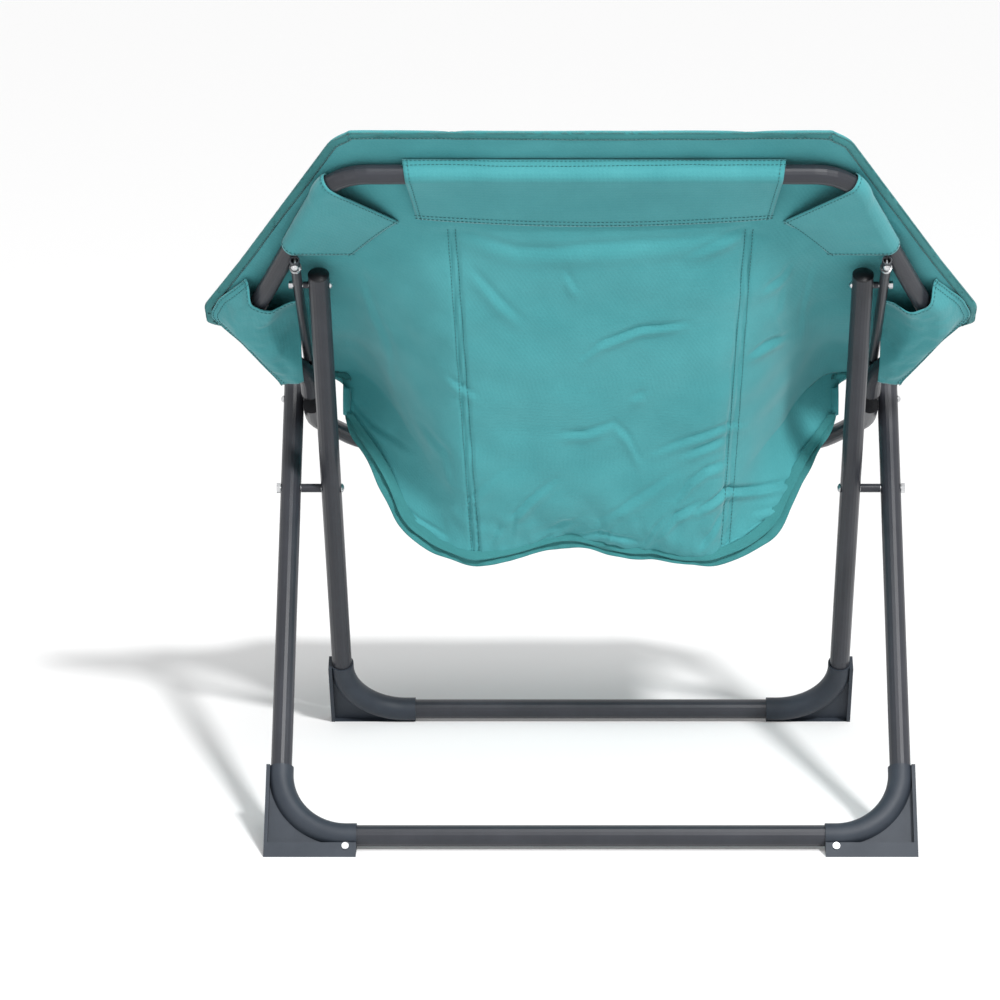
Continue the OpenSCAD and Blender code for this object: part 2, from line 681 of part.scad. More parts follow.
// Outer face, padding direction and padding depth of the back pad at a row and a column
columns = concat([for (c = col_share) [c, 0]], [for (r = rim_col_share) [1, r]]);
back_rows = concat(
    [for (s = upper_row_share) [mix(pad_top_l, corner_hi, s), 0]],
    [[back_side_l, 0], [corner_lo, 0], [(corner_lo + lobe_l) / 2, 0], [lobe_l, 0]],
    [for (s = lobe_row_share) [lobe_l, s]]
);
function back_row_point(t, k) = let (
    x = k[1] > 0 ? mix(inner_x(t), pad_x(t), k[1]) : inner_x(t) * k[0],
    n = mix(pad_rim(t), belly(t) + pad_rim(t) - rim_n, section(k[0]))
) place(x, ring_yz(t, n));
function back_row_dir(t, k) = let (
    a = max(0, k[0] - seam_step_share),
    b = min(1, k[0] + seam_step_share),
    fall = (pad_rim(t) - belly(t)) * (section(b) - section(a)) / (2 * seam_step_share * inner_x(t)),
    v = k[1] > 0 ? [0, 1] : unit([fall, 1])
) place(v.x, v.y * [-sin(ring_a), cos(ring_a)]);
function back_point(row, k) = row[1] == 0
    ? back_row_point(row[0], k)
    : mix(back_row_point(row[0], k), seam_point(k, 1), row[1]);
function back_dir(row, k) = row[1] == 0
    ? back_row_dir(row[0], k)
    : unit(mix(back_row_dir(row[0], k), seam_in(k[0]), row[1]));
function back_depth(row, k) = let (
    top = crown(pad_top_l - row[0], crown_reach),
    x = k[1] > 0 ? mix(inner_x(row[0]), pad_x(row[0]), k[1]) : inner_x(row[0]) * k[0],
    side = crown(pad_x(row[0]) - x, crown_reach),
    low = mix(1, seam_t_share, smooth(row[1])),
    full = mix(pad_edge_t, pad_t, min(top, side) * low)
) full * channel(k[0]);

// The same for the front pad, whose rows run from the bottom seam over the front bar
front_rows = concat([for (s = front_way_share) [s, 0]], [for (s = front_over_share) [1, s]]);
function front_row_point(k, over_bar) = let (
    x = mix(front_row_x, front_edge_x, over_bar) * (k[0] + k[1] * edge_strip / front_row_x),
    s = mix(front_row_l, front_edge_l, over_bar)
) place(x, front_yz(s, rim_n));
function front_point(row, k) = let (
    a = seam_point(k, -1),
    b = front_row_point(k, row[1]),
    sag = front_sag * 4 * row[0] * (1 - row[0]) * section(k[0])
) mix(a, b, row[0]) + place(0, sag * [sin(front_tilt), -cos(front_tilt)]);
function front_dir(row, k) =
    unit(mix(seam_in(k[0]), place(0, [-sin(front_tilt), cos(front_tilt)]), row[0]));
function front_depth(row, k) = let (
    x = front_row_x * (1 - k[0]),
    side = crown(x + edge_strip, crown_reach),
    low = mix(seam_t_share, 1, smooth(row[0] / seam_thin_share)),
    top = row[1] > 0 ? crown((1 - row[1]) * (front_edge_l - front_row_l), crown_reach / 2) : 1
) mix(pad_edge_t, pad_t, min(side, top) * low) * channel(k[0]);

// A closed skin over a grid of outer points and the inner points behind them
module skin(outer, inner) {
    rows = len(outer);
    cols = len(outer[0]);
    count = rows * cols;
    function id(i, j) = i * cols + j;
    points = concat([for (r = outer) each r], [for (r = inner) each r]);
    sheet = [for (i = [0:rows - 2]) for (j = [0:cols - 2]) for (f = [
        [id(i, j), id(i + 1, j + 1), id(i, j + 1)], [id(i, j), id(i + 1, j), id(i + 1, j + 1)]
    ]) f];
    under = [for (f = sheet) [count + f[0], count + f[2], count + f[1]]];
    rim = concat(
        [for (j = [0:cols - 2]) id(0, j)], [for (i = [0:rows - 2]) id(i, cols - 1)],
        [for (j = [cols - 1:-1:1]) id(rows - 1, j)], [for (i = [rows - 1:-1:1]) id(i, 0)]
    );
    side = [for (i = [0:len(rim) - 1]) let (a = rim[i], b = rim[(i + 1) % len(rim)]) for (f = [
        [a, b, count + b], [a, count + b, count + a]
    ]) f];
    polyhedron(points = points, faces = concat(sheet, under, side), convexity = 8);
}

function flip(p) = [-p.x, p.y, p.z];
function whole_row(half) = concat([for (i = [len(half) - 1:-1:1]) flip(half[i])], half);

module back_pad() {
    outer = [for (r = back_rows) whole_row([for (k = columns) back_point(r, k)])];
    inner = [for (r = back_rows)
        whole_row([for (k = columns) back_point(r, k) + back_depth(r, k) * back_dir(r, k)])];
    color(c_fabric) skin(outer, inner);
}
module front_pad() {
    outer = [for (r = backwards(front_rows)) whole_row([for (k = columns) front_point(r, k)])];
    inner = [for (r = backwards(front_rows))
        whole_row([for (k = columns) front_point(r, k) + front_depth(r, k) * front_dir(r, k)])];
    color(c_fabric) skin(backwards(outer), backwards(inner));
}

// Sleeves: a loop of cloth round a bar with a flap sewn to the pad's back
module bar_sleeve(half_l, bar, flap_l, flap_n, taper) {
    r0 = ring_d / 2 + gap;
    r1 = r0 + sleeve_t;
    hem = bar - sign(bar) * flap_l;
    intersection() {
        translate([-half_l, 0, 0]) rotate([right_angle, 0, right_angle])
            linear_extrude(2 * half_l) difference() {
                union() {
                    translate([bar, 0]) circle(r = r1);
                    polygon([[bar, -r1], [hem, flap_n - sleeve_t], [hem, flap_n], [bar, -r0]]);
                }
                translate([bar, 0]) circle(r = r0);
            }
        translate([0, 0, -pad_top_l]) linear_extrude(2 * pad_top_l) polygon([
            [-half_l, bar + sign(bar) * ring_d], [half_l, bar + sign(bar) * ring_d],
            [half_l - taper, hem], [taper - half_l, hem]
        ]);
    }
}
front_flap_l = 34;
sleeve_taper = 12;
module top_sleeve() {
    flap_n = belly(back_ring_l - top_flap_l) - gap;
    color(c_pocket) on_ring() bar_sleeve(top_sleeve_x, back_ring_l, top_flap_l, flap_n, sleeve_taper);
}
module front_sleeve() {
    color(c_pocket) on_front_ring()
        bar_sleeve(front_sleeve_x, -front_ring_l, front_flap_l, under_n, sleeve_taper);
}

// Pockets: cloth under the ring tube, rising outside it to the pad's edge
under_n = -ring_d / 2 - gap - sleeve_t;
pocket_in_x = stay_x + stay_d / 2 + gap;
function pocket_point(s, c) = let (
    way = mix(lookup(s, pocket_in_share), lookup(s, pocket_out_share), c),
    x = mix(pocket_in_x, pad_half_w, way),
    lift = lookup(s, pocket_rise_share) * smooth((c - pocket_flat_share) / (1 - pocket_flat_share)),
    n = mix(under_n, rim_n - sleeve_t - gap, lift)
) place(x, ring_yz(s * back_side_l, n));
function side_tube_x(t) = mix(back_side_x, back_top_x, (t - back_side_l) / (back_ring_l - back_side_l));
// The patch wraps a quarter turn round the tube at its outer edge
patch_r = ring_d / 2 + patch_loose + sleeve_t;
function patch_point(s, c) = let (
    t = mix(cross_l, back_ring_l, s),
    a = right_angle * max(0, (c - patch_flat_share) / (1 - patch_flat_share)),
    flat_x = mix(back_top_x * lookup(s, patch_in_share), side_tube_x(t), min(1, c / patch_flat_share)),
    x = flat_x + patch_r * sin(a),
    n = -patch_r * cos(a)
) place(x, ring_yz(t, n));
up_n = place(0, sleeve_t * [-sin(ring_a), cos(ring_a)]);
module side_pocket() {
    outer = [for (s = backwards(pocket_row_share)) [for (c = pocket_col_share) pocket_point(s, c)]];
    color(c_pocket) skin(outer, [for (r = outer) [for (p = r) p + up_n]]);
}
module corner_patch() {
    outer = [for (s = backwards(patch_row_share)) [for (c = patch_col_share) patch_point(s, c)]];
    color(c_pocket) skin(outer, [for (r = outer) [for (p = r) p + up_n]]);
}
module left_side_pocket() {
    mirror([1, 0, 0]) side_pocket();
}
module right_side_pocket() {
    side_pocket();
}
module left_corner_patch() {
    mirror([1, 0, 0]) corner_patch();
}
module right_corner_patch() {
    corner_patch();
}

front_leg_frame();
front_left_foot();
front_right_foot();
front_leg_caps();
leg_pivot_bolts();
leg_pivot_spacers();
stay_bolts();
stay_spacers();
front_foot_screws();
rear_leg_frame();
rear_left_foot();
rear_right_foot();
rear_leg_caps();
bracket_bolts();
rear_foot_screws();
back_ring_tube();
back_ring_plugs();
left_stay();
right_stay();
stay_collars();
stay_screws();
hinge_pins();
back_pad();
top_sleeve();
left_corner_patch();
right_corner_patch();
left_side_pocket();
right_side_pocket();
front_ring_tube();
front_ring_plugs();
left_hinge_bracket();
right_hinge_bracket();
front_pad();
front_sleeve();
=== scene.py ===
"""The looks of a folding loveseat: padded sling, sewn sleeves and pockets, painted tubes, moulded feet."""

import json
import math

import bmesh
import bpy
import numpy as np
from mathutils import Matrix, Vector, noise
from mathutils.bvhtree import BVHTree

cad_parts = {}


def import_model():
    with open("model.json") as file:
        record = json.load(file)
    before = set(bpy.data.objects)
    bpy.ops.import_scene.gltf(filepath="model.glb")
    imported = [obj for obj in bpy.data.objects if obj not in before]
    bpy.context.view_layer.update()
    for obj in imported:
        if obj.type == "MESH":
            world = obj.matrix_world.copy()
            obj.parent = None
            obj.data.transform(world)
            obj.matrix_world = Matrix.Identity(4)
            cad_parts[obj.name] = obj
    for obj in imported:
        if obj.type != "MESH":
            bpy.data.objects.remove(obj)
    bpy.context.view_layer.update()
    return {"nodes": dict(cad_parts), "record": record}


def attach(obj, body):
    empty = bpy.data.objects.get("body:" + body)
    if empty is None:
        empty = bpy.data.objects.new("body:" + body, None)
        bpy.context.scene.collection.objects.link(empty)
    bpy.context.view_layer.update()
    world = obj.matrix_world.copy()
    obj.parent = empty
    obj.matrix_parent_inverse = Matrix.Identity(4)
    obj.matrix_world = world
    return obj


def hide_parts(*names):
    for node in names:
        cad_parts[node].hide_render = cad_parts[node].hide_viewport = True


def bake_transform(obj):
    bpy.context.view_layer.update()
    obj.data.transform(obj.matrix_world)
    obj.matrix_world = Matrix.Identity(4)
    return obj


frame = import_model()
NODES = frame["nodes"]
JOINTS = {j["name"]: j for j in frame["record"]["behaviour"]["joints"]}

# Places that the frame gives, as (y, z) pairs in metres
HINGE = np.array(JOINTS["front_ring_fold"]["pos_m"][1:])
STAY_BOLT = np.array(JOINTS["back_ring_fold"]["pos_m"][1:])
PIVOT = np.array(JOINTS["rear_leg_fold"]["pos_m"][1:])

# Sizes in metres, as the frame's own
RING_D = 0.025
RING_BEND_R = 0.062
RING_LIFT = 0.020
RING_DROP = 0.0246
STAY_L = 0.35825
FRONT_DROP = 0.0334
FRONT_TILT = math.radians(30)
BACK_RING_L = 0.519
BACK_SIDE_X = 0.459
BACK_SIDE_L = 0.175
BACK_TOP_X = 0.324
RING_LOW_L = 0.060
RING_END_L = 0.015
STAY_X = 0.3819
FRONT_RING_L = 0.195
PAD_T = 0.022
EDGE_T = 0.007
PAD_HALF_W = 0.512
PAD_TOP_L = 0.582
BUCKET_X = 0.332
BUCKET_DEPTH = 0.241
BUCKET_A = math.radians(69.5)
CLOTH_T = 0.0016
GAP = 0.0004

# Origins and directions of the two halves of the ring: T up along the half, N out of its seat side
STAY_A = math.atan2(STAY_BOLT[1] - HINGE[1], STAY_BOLT[0] - HINGE[0])
RING_A = STAY_A + math.atan2(RING_LIFT + RING_DROP, STAY_L)
RING_O = HINGE + RING_DROP * np.array([math.sin(STAY_A), -math.cos(STAY_A)])
RING_T = np.array([math.cos(RING_A), math.sin(RING_A)])
RING_N = np.array([-math.sin(RING_A), math.cos(RING_A)])
OUT_OF_RING = np.array([0, *RING_N])
FRONT_O = HINGE - np.array([0, FRONT_DROP])
FRONT_T = np.array([math.cos(FRONT_TILT), math.sin(FRONT_TILT)])
FRONT_N = np.array([-math.sin(FRONT_TILT), math.cos(FRONT_TILT)])

# Camera of the photograph: pitched down and looking at the seat's back
CAMERA_AT = (0, PIVOT[0] + 5.4685, 1.8523)
CAMERA_PITCH = math.radians(75)
CAMERA_LENS = 149.1
CAMERA_SENSOR = 36
CAMERA_SHIFT = -0.0908
CAMERA_SIGHT = 50
PHOTO = 1000
FOCAL_PX = CAMERA_LENS / CAMERA_SENSOR * PHOTO
LOOK_DOWN = math.pi / 2 - CAMERA_PITCH


def make_camera():
    data = bpy.data.cameras.new("photo_camera")
    data.lens = CAMERA_LENS
    data.shift_x = CAMERA_SHIFT
    data.clip_end = CAMERA_SIGHT
    camera = bpy.data.objects.new("photo_camera", data)
    camera.location = CAMERA_AT
    camera.rotation_euler = (CAMERA_PITCH, 0, math.pi)
    bpy.context.collection.objects.link(camera)
    bpy.context.scene.camera = camera


def photo_px(p):
    """Where points of the object lie in the photograph, in its pixels."""
    d = p - np.array(CAMERA_AT)
    depth = -d[..., 1] * math.cos(LOOK_DOWN) - d[..., 2] * math.sin(LOOK_DOWN)
    up = -d[..., 1] * math.sin(LOOK_DOWN) + d[..., 2] * math.cos(LOOK_DOWN)
    x = PHOTO / 2 - CAMERA_SHIFT * PHOTO - FOCAL_PX * d[..., 0] / depth
    y = PHOTO / 2 - FOCAL_PX * up / depth
    return np.stack([x, y], axis=-1)


def photo_ray(px):
    """Direction from the camera through a pixel of the photograph."""
    right = (px[0] - PHOTO / 2 + CAMERA_SHIFT * PHOTO) / FOCAL_PX
    up = (PHOTO / 2 - px[1]) / FOCAL_PX
    level, fall = math.cos(LOOK_DOWN), math.sin(LOOK_DOWN)
    return Vector((-right, -level - up * fall, -fall + up * level)).normalized()


# Small helpers

TINY = 1e-9
SHARE_READS = 7
SHARE_SOFT = 0.012
SEED_STEP = 7.31
BEND_POINTS = 13


def smooth(t):
    t = np.clip(t, 0, 1)
    return t * t * (3 - 2 * t)


def mix(a, b, t):
    return a + (b - a) * t


def unit(v):
    return v / np.maximum(np.linalg.norm(v, axis=-1, keepdims=True), TINY)


def share(x, table, soft=SHARE_SOFT):
    """A table of shares read with its corners rounded off."""
    xs, ys = zip(*table)
    return sum(np.interp(x + soft * k, xs, ys) for k in np.linspace(-1, 1, SHARE_READS)) / SHARE_READS


def world(x, yz):
    return np.stack([x, yz[..., 0], yz[..., 1]], axis=-1)


def along_yz(amount, way):
    """Moves by an amount along a direction in the y-z plane."""
    return world(np.zeros(amount.shape), amount[..., None] * way)


def ring_point(x, t, n):
    return world(x, RING_O + t[..., None] * RING_T + n[..., None] * RING_N)


def front_point(x, s, n):
    return world(x, FRONT_O - s[..., None] * FRONT_T + n[..., None] * FRONT_N)


def bumps(p, scale, seed):
    """Smooth noise at points, one value each."""
    flat = p.reshape(-1, 3) * scale + seed * SEED_STEP
    return np.array([noise.noise(Vector(v)) for v in flat]).reshape(p.shape[:-1])


def normals_of(p):
    return unit(np.cross(np.gradient(p, axis=1), np.gradient(p, axis=0)))


def lengths(p, axis):
    """Arc length along an axis of a grid, for weave coordinates."""
    step = np.linalg.norm(np.diff(p, axis=axis), axis=-1)
    pad = [(0, 0), (0, 0)]
    pad[axis] = (1, 0)
    return np.cumsum(np.pad(step, pad), axis=axis)


def run_along(points):
    """Length run at each point of a polyline."""
    return np.concatenate([[0], np.cumsum(np.linalg.norm(np.diff(points, axis=0), axis=1))])


def spread(points, count):
    """Points shared out evenly along a polyline of any dimension."""
    points = np.asarray(points, dtype=float)
    run = run_along(points)
    at = np.linspace(0, run[-1], count)
    return np.stack([np.interp(at, run, points[:, k]) for k in range(points.shape[1])], axis=-1)


def rounded(points, radius, step):
    """A flat path with even bends, as points a step apart."""
    pts = [np.array(p, dtype=float) for p in points]
    path = [pts[0]]
    for a, b, c in zip(pts[:-2], pts[1:-1], pts[2:]):
        u, v = unit(b - a), unit(c - b)
        half = math.acos(float(np.clip(u @ v, -1, 1))) / 2
        start, end = b - u * radius * math.tan(half), b + v * radius * math.tan(half)
        centre = b + unit(v - u) * radius / math.cos(half)
        path += [centre + unit(mix(start, end, k) - centre) * radius for k in np.linspace(0, 1, BEND_POINTS)]
    path.append(pts[-1])
    return spread(path, int(run_along(path)[-1] / step))


def mesh_object(name, verts, faces, material, uvs=None):
    mesh = bpy.data.meshes.new(name)
    mesh.from_pydata([tuple(v) for v in verts], [], faces)
    mesh.update()
    if uvs is not None:
        layer = mesh.uv_layers.new(name="cloth")
        index = np.array([l.vertex_index for l in mesh.loops])
        layer.data.foreach_set("uv", np.asarray(uvs, dtype=np.float32)[index].ravel())
    obj = bpy.data.objects.new(name, mesh)
    bpy.context.collection.objects.link(obj)
    mesh.materials.append(material)
    for poly in mesh.polygons:
        poly.use_smooth = True
    bm = bmesh.new()
    bm.from_mesh(mesh)
    bmesh.ops.recalc_face_normals(bm, faces=bm.faces)
    bm.to_mesh(mesh)
    bm.free()
    return obj


def grid_faces(rows, cols, base=0, wrap=False):
    span = cols if wrap else cols - 1
    return [
        (base + i * cols + j, base + i * cols + (j + 1) % cols,
         base + (i + 1) * cols + (j + 1) % cols, base + (i + 1) * cols + j)
        for i in range(rows - 1) for j in range(span)
    ]


def closed_sheet(name, outer, inner, material):
    """A closed skin between two grids of points, joined round their edges."""
    rows, cols = outer.shape[:2]
    count = rows * cols
    faces = grid_faces(rows, cols) + [f[::-1] for f in grid_faces(rows, cols, count)]
    rim = (
        [j for j in range(cols - 1)] + [i * cols + cols - 1 for i in range(rows - 1)]
        + [(rows - 1) * cols + j for j in range(cols - 1, 0, -1)] + [i * cols for i in range(rows - 1, 0, -1)]
    )
    faces += [(a, a + count, b + count, b) for a, b in zip(rim, rim[1:] + rim[:1])]
    uv = np.stack([lengths(outer, 1), lengths(outer, 0)], axis=-1).reshape(-1, 2)
    verts = np.concatenate([outer.reshape(-1, 3), inner.reshape(-1, 3)])
    return mesh_object(name, verts, faces, material, np.concatenate([uv, uv]))


# Stitches: length, step to the next and radius of the thread, in metres
STITCH_L = 0.0036
STITCH_STEP = 0.0054
STITCH_R = 0.00045
STITCH_SIDES = 6
# Rings along a stitch: place as a share of its length, radius and lift as shares of the thread's radius
STITCH_RING_SHARES = ((-0.5, 0.4, -0.3), (-0.3, 1, 0.6), (0.3, 1, 0.6), (0.5, 0.4, -0.3))


def stitch_row(path, normal):
    """Points and faces of a row of short stitches lying on a surface."""
    pts = spread(path, max(2, int(run_along(path)[-1] / STITCH_STEP) + 1))
    at, given = np.linspace(0, 1, len(pts)), np.linspace(0, 1, len(normal))
    ways = unit(np.stack([np.interp(at, given, normal[:, k]) for k in range(3)], axis=-1))
    verts, faces = [], []
    for p, along, out in zip(pts, unit(np.gradient(pts, axis=0)), ways):
        side = np.cross(along, out)
        base = len(verts)
        for place, wide, lift in STITCH_RING_SHARES:
            middle = p + along * place * STITCH_L + out * STITCH_R * lift
            for angle in np.linspace(0, 2 * math.pi, STITCH_SIDES, endpoint=False):
                verts.append(middle + STITCH_R * wide * (math.cos(angle) * side + math.sin(angle) * out))
        last = len(verts) - STITCH_SIDES
        faces += grid_faces(len(STITCH_RING_SHARES), STITCH_SIDES, base, wrap=True)
        faces += [tuple(range(base, base + STITCH_SIDES))[::-1], tuple(range(last, last + STITCH_SIDES))]
    return verts, faces


def stitches(name, rows, material):
    verts, faces = [], []
    for path, normal in rows:
        v, f = stitch_row(path, normal)
        faces += [tuple(k + len(verts) for k in q) for q in f]
        verts += v
    obj = mesh_object(name, verts, faces, material)
    return obj


# Materials

# Darker and lighter colour of each
PAD_TEAL = ((0.046, 0.270, 0.292), (0.082, 0.366, 0.392))
TRIM_TEAL = ((0.044, 0.255, 0.276), (0.078, 0.348, 0.373))
# The binding's teal also colours the seam layers at the bucket's bottom, where its darkness is painted shade
BINDING_AND_SEAM_SHADE_TEAL = ((0.028, 0.180, 0.188), (0.048, 0.248, 0.256))
THREAD_TEAL = ((0.018, 0.120, 0.127), (0.032, 0.170, 0.177))
PAINT_GREY = ((0.025, 0.027, 0.033), (0.036, 0.038, 0.047))
SLATE = ((0.024, 0.031, 0.042), (0.035, 0.043, 0.056))
BLACK = ((0.008, 0.008, 0.010), (0.016, 0.016, 0.019))
ZINC_GREY = ((0.46, 0.46, 0.47), (0.72, 0.73, 0.74))
# Where a texture's value gives the darker and the lighter colour
RAMP_SHARES = (0.3, 0.72)

# Settings of the shaders
FABRIC = {"Roughness": 0.78, "Sheen Weight": 0.22, "Sheen Roughness": 0.45, "Specular IOR Level": 0.28}
PAINT_COAT = {"Roughness": 0.32, "Specular IOR Level": 0.32, "Coat Weight": 0.06, "Coat Roughness": 0.3}
PAINT_ROUGH = {"To Min": 0.26, "To Max": 0.40}
SLATE_PLASTIC = {"Roughness": 0.5, "Specular IOR Level": 0.3}
CAP_BLACK = {"Roughness": 0.4, "Specular IOR Level": 0.3}
ZINC_PLATE = {"Roughness": 0.28, "Metallic": 1.0}

# Textures
BLOTCH = {"Scale": 9.0, "Detail": 5.0, "Roughness": 0.6}
SLUB = {"Scale": 900.0, "Detail": 2.0, "Roughness": 0.7}
WRINKLE = {"Scale": 38.0, "Detail": 6.0, "Roughness": 0.55}
WEAVE = {"wave_type": "BANDS", "wave_profile": "SIN", "Distortion": 0.6, "Detail": 1.0}
PEEL = {"Scale": 420.0, "Detail": 2.0, "Roughness": 0.5}
RUBBING = {"Scale": 14.0, "Detail": 6.0, "Roughness": 0.65}
MOTTLE = {"Scale": 22.0, "Detail": 6.0, "Roughness": 0.6}
SPANGLE = {"Scale": 240.0, "Detail": 5.0, "Roughness": 0.7}
SLATE_GRAIN = {"Scale": 1300.0}
CAP_GRAIN = {"Scale": 1600.0}
SLUB_SHARE = 0.45

# Bumps: strength, then depth in metres
WRINKLE_BUMP = (0.35, 0.0016)
SLUB_BUMP = (0.25, 0.0003)
WEAVE_BUMP = (0.5, 0.0003)
THREAD_BUMP = (0.1, 0.0003)
PEEL_BUMP = (0.16, 0.0004)
GRAIN_BUMP = (0.3, 0.0003)
SPANGLE_BUMP = (0.15, 0.0002)

# A wave texture turns by this many radians in a unit, so a rib of the weave is two pi of these lengths wide
WAVE_TURN = 20
PAD_RIB = 0.0009
BINDING_RIB = 0.0007


def new_material(name, color, settings):
    mat = bpy.data.materials.new(name)
    mat.use_nodes = True
    shader = mat.node_tree.nodes["Principled BSDF"]
    shader.inputs["Base Color"].default_value = (*color, 1)
    for key, value in settings.items():
        shader.inputs[key].default_value = value
    return mat, mat.node_tree, shader


def add(tree, kind, **values):
    node = tree.nodes.new(kind)
    for key, value in values.items():
        if key in node.inputs:
            node.inputs[key].default_value = value
        else:
            setattr(node, key, value)
    return node


def texture(tree, settings, kind="ShaderNodeTexNoise"):
    """A texture on the object's own coordinates."""
    node = add(tree, kind, **settings)
    place = add(tree, "ShaderNodeTexCoord")
    tree.links.new(place.outputs["Object"], node.inputs["Vector"])
    return node


def times(tree, source, value):
    node = add(tree, "ShaderNodeMath", operation="MULTIPLY")
    node.inputs[1].default_value = value
    tree.links.new(source, node.inputs[0])
    return node.outputs["Value"]


def vary_color(tree, shader, source, colors):
    """Base colour that a texture mixes from the darker and the lighter colour."""
    ramp = add(tree, "ShaderNodeValToRGB")
    for stop, color, at in zip(ramp.color_ramp.elements, colors, RAMP_SHARES):
        stop.color = (*color, 1)
        stop.position = at
    tree.links.new(source, ramp.inputs["Fac"])
    tree.links.new(ramp.outputs["Color"], shader.inputs["Base Color"])


def bump(tree, shader, source, strength, distance):
    node = add(tree, "ShaderNodeBump", Strength=strength, Distance=distance)
    tree.links.new(source, node.inputs["Height"])
    last = shader.inputs["Normal"]
    if last.links:
        tree.links.new(last.links[0].from_socket, node.inputs["Normal"])
    tree.links.new(node.outputs["Normal"], last)


def fabric_material(name, colors, rib=PAD_RIB, weave=WEAVE_BUMP):
    """Woven polyester: crossing ribs, small slubs and soft blotches of dye."""
    mat, tree, shader = new_material(name, colors[1], FABRIC)
    uv = add(tree, "ShaderNodeUVMap", uv_map="cloth")
    cross = add(tree, "ShaderNodeMath", operation="MULTIPLY")
    for axis, socket in zip("XY", cross.inputs):
        wave = add(tree, "ShaderNodeTexWave", bands_direction=axis, Scale=1 / rib / WAVE_TURN, **WEAVE)
        tree.links.new(uv.outputs["UV"], wave.inputs["Vector"])
        tree.links.new(wave.outputs["Fac"], socket)
    slub = texture(tree, SLUB)
    both = add(tree, "ShaderNodeMath", operation="MULTIPLY_ADD")
    both.inputs[1].default_value = SLUB_SHARE
    tree.links.new(slub.outputs["Fac"], both.inputs[0])
    tree.links.new(times(tree, texture(tree, BLOTCH).outputs["Fac"], 1 - SLUB_SHARE), both.inputs[2])
    vary_color(tree, shader, both.outputs["Value"], colors)
    bump(tree, shader, texture(tree, WRINKLE).outputs["Fac"], *WRINKLE_BUMP)
    bump(tree, shader, slub.outputs["Fac"], *SLUB_BUMP)
    bump(tree, shader, cross.outputs["Value"], *weave)
    return mat


def paint_material(name, colors):
    """Satin powder coat with a fine orange peel and a little rubbing."""
    mat, tree, shader = new_material(name, colors[0], PAINT_COAT)
    rubbing = texture(tree, RUBBING).outputs["Fac"]
    vary_color(tree, shader, rubbing, colors)
    rough = add(tree, "ShaderNodeMapRange", **PAINT_ROUGH)
    tree.links.new(rubbing, rough.inputs["Value"])
    tree.links.new(rough.outputs["Result"], shader.inputs["Roughness"])
    bump(tree, shader, texture(tree, PEEL).outputs["Fac"], *PEEL_BUMP)
    return mat


def plastic_material(name, colors, settings, grain):
    """Moulded plastic with a grained skin."""
    mat, tree, shader = new_material(name, colors[1], settings)
    vary_color(tree, shader, texture(tree, MOTTLE).outputs["Fac"], colors)
    bump(tree, shader, texture(tree, grain, "ShaderNodeTexVoronoi").outputs["Distance"], *GRAIN_BUMP)
    return mat


def zinc_material(name, colors):
    """Zinc plating with its fine spangle."""
    mat, tree, shader = new_material(name, colors[1], ZINC_PLATE)
    spangle = texture(tree, SPANGLE).outputs["Fac"]
    vary_color(tree, shader, spangle, colors)
    bump(tree, shader, spangle, *SPANGLE_BUMP)
    return mat


PAD_CLOTH = fabric_material("teal_cloth", PAD_TEAL)
TRIM_CLOTH = fabric_material("teal_trim", TRIM_TEAL)
# Cloth of the binding tape, also put on the seam layers so that their darker teal gives painted shade
BINDING_AND_SEAM_SHADE = fabric_material("teal_binding_and_seam_shade", BINDING_AND_SEAM_SHADE_TEAL, rib=BINDING_RIB)
THREAD = fabric_material("teal_thread", THREAD_TEAL, weave=THREAD_BUMP)
SLOT_MATERIALS = {
    "frame_steel": paint_material("grey_paint", PAINT_GREY),
    "foot_plastic": plastic_material("slate_plastic", SLATE, SLATE_PLASTIC, SLATE_GRAIN),
    "cap_plastic": plastic_material("black_plastic", BLACK, CAP_BLACK, CAP_GRAIN),
    "zinc_steel": zinc_material("zinc_plate", ZINC_GREY),
    "seat_fabric": PAD_CLOTH,
    "trim_fabric": TRIM_CLOTH,
}


def dress_frame():
    for row in frame["record"]["subparts"]:
        for slot in NODES[row["node"]].material_slots:
            slot.material = SLOT_MATERIALS[row["material_slot"]]


make_camera()
dress_frame()

# Centre line of the ring from its top bar to its left end in the photograph, across and up the ring
AXIS_BAR_L = 0.12
AXIS_STEP = 0.004
AXIS = rounded([(BACK_TOP_X - AXIS_BAR_L, BACK_RING_L), (BACK_TOP_X, BACK_RING_L), (BACK_SIDE_X, BACK_SIDE_L),
                (STAY_X, RING_LOW_L), (STAY_X, RING_END_L)], RING_BEND_R, AXIS_STEP)

# The padded sling: rows run from the top edge down to the bottom seam and on to the front edge

# Half width of the back, against the way up to its top edge
EDGE_SHARE = [
    (0, 0.700), (0.03, 0.735), (0.09, 0.750), (0.16, 0.760), (0.257, 1), (0.34, 1), (0.517, 0.893),
    (0.971, 0.636), (1, 0.586)
]
# The bottom seam's place across and its depth, against the way from the bucket's middle to its side
SEAM_X_SHARE = [
    (0, 0), (0.6, 0.50), (0.7, 0.635), (0.78, 0.745), (0.86, 0.808), (0.92, 0.875), (0.97, 0.965), (1, 1.018)
]
SEAM_R_SHARE = [
    (0, 0.97), (0.3, 0.98), (0.6, 1), (0.7, 0.93), (0.78, 0.81), (0.86, 0.63), (0.92, 0.44), (0.97, 0.28),
    (1, 0.17)
]
# Waves of the bottom seam: how far down, where across, and how wide, in metres
SEAM_WAVES = [(-0.018, 0.035, 0.06), (0.002, 0.150, 0.035), (0.004, -0.130, 0.05), (-0.004, -0.085, 0.02)]
WAVE_REACH = 0.05
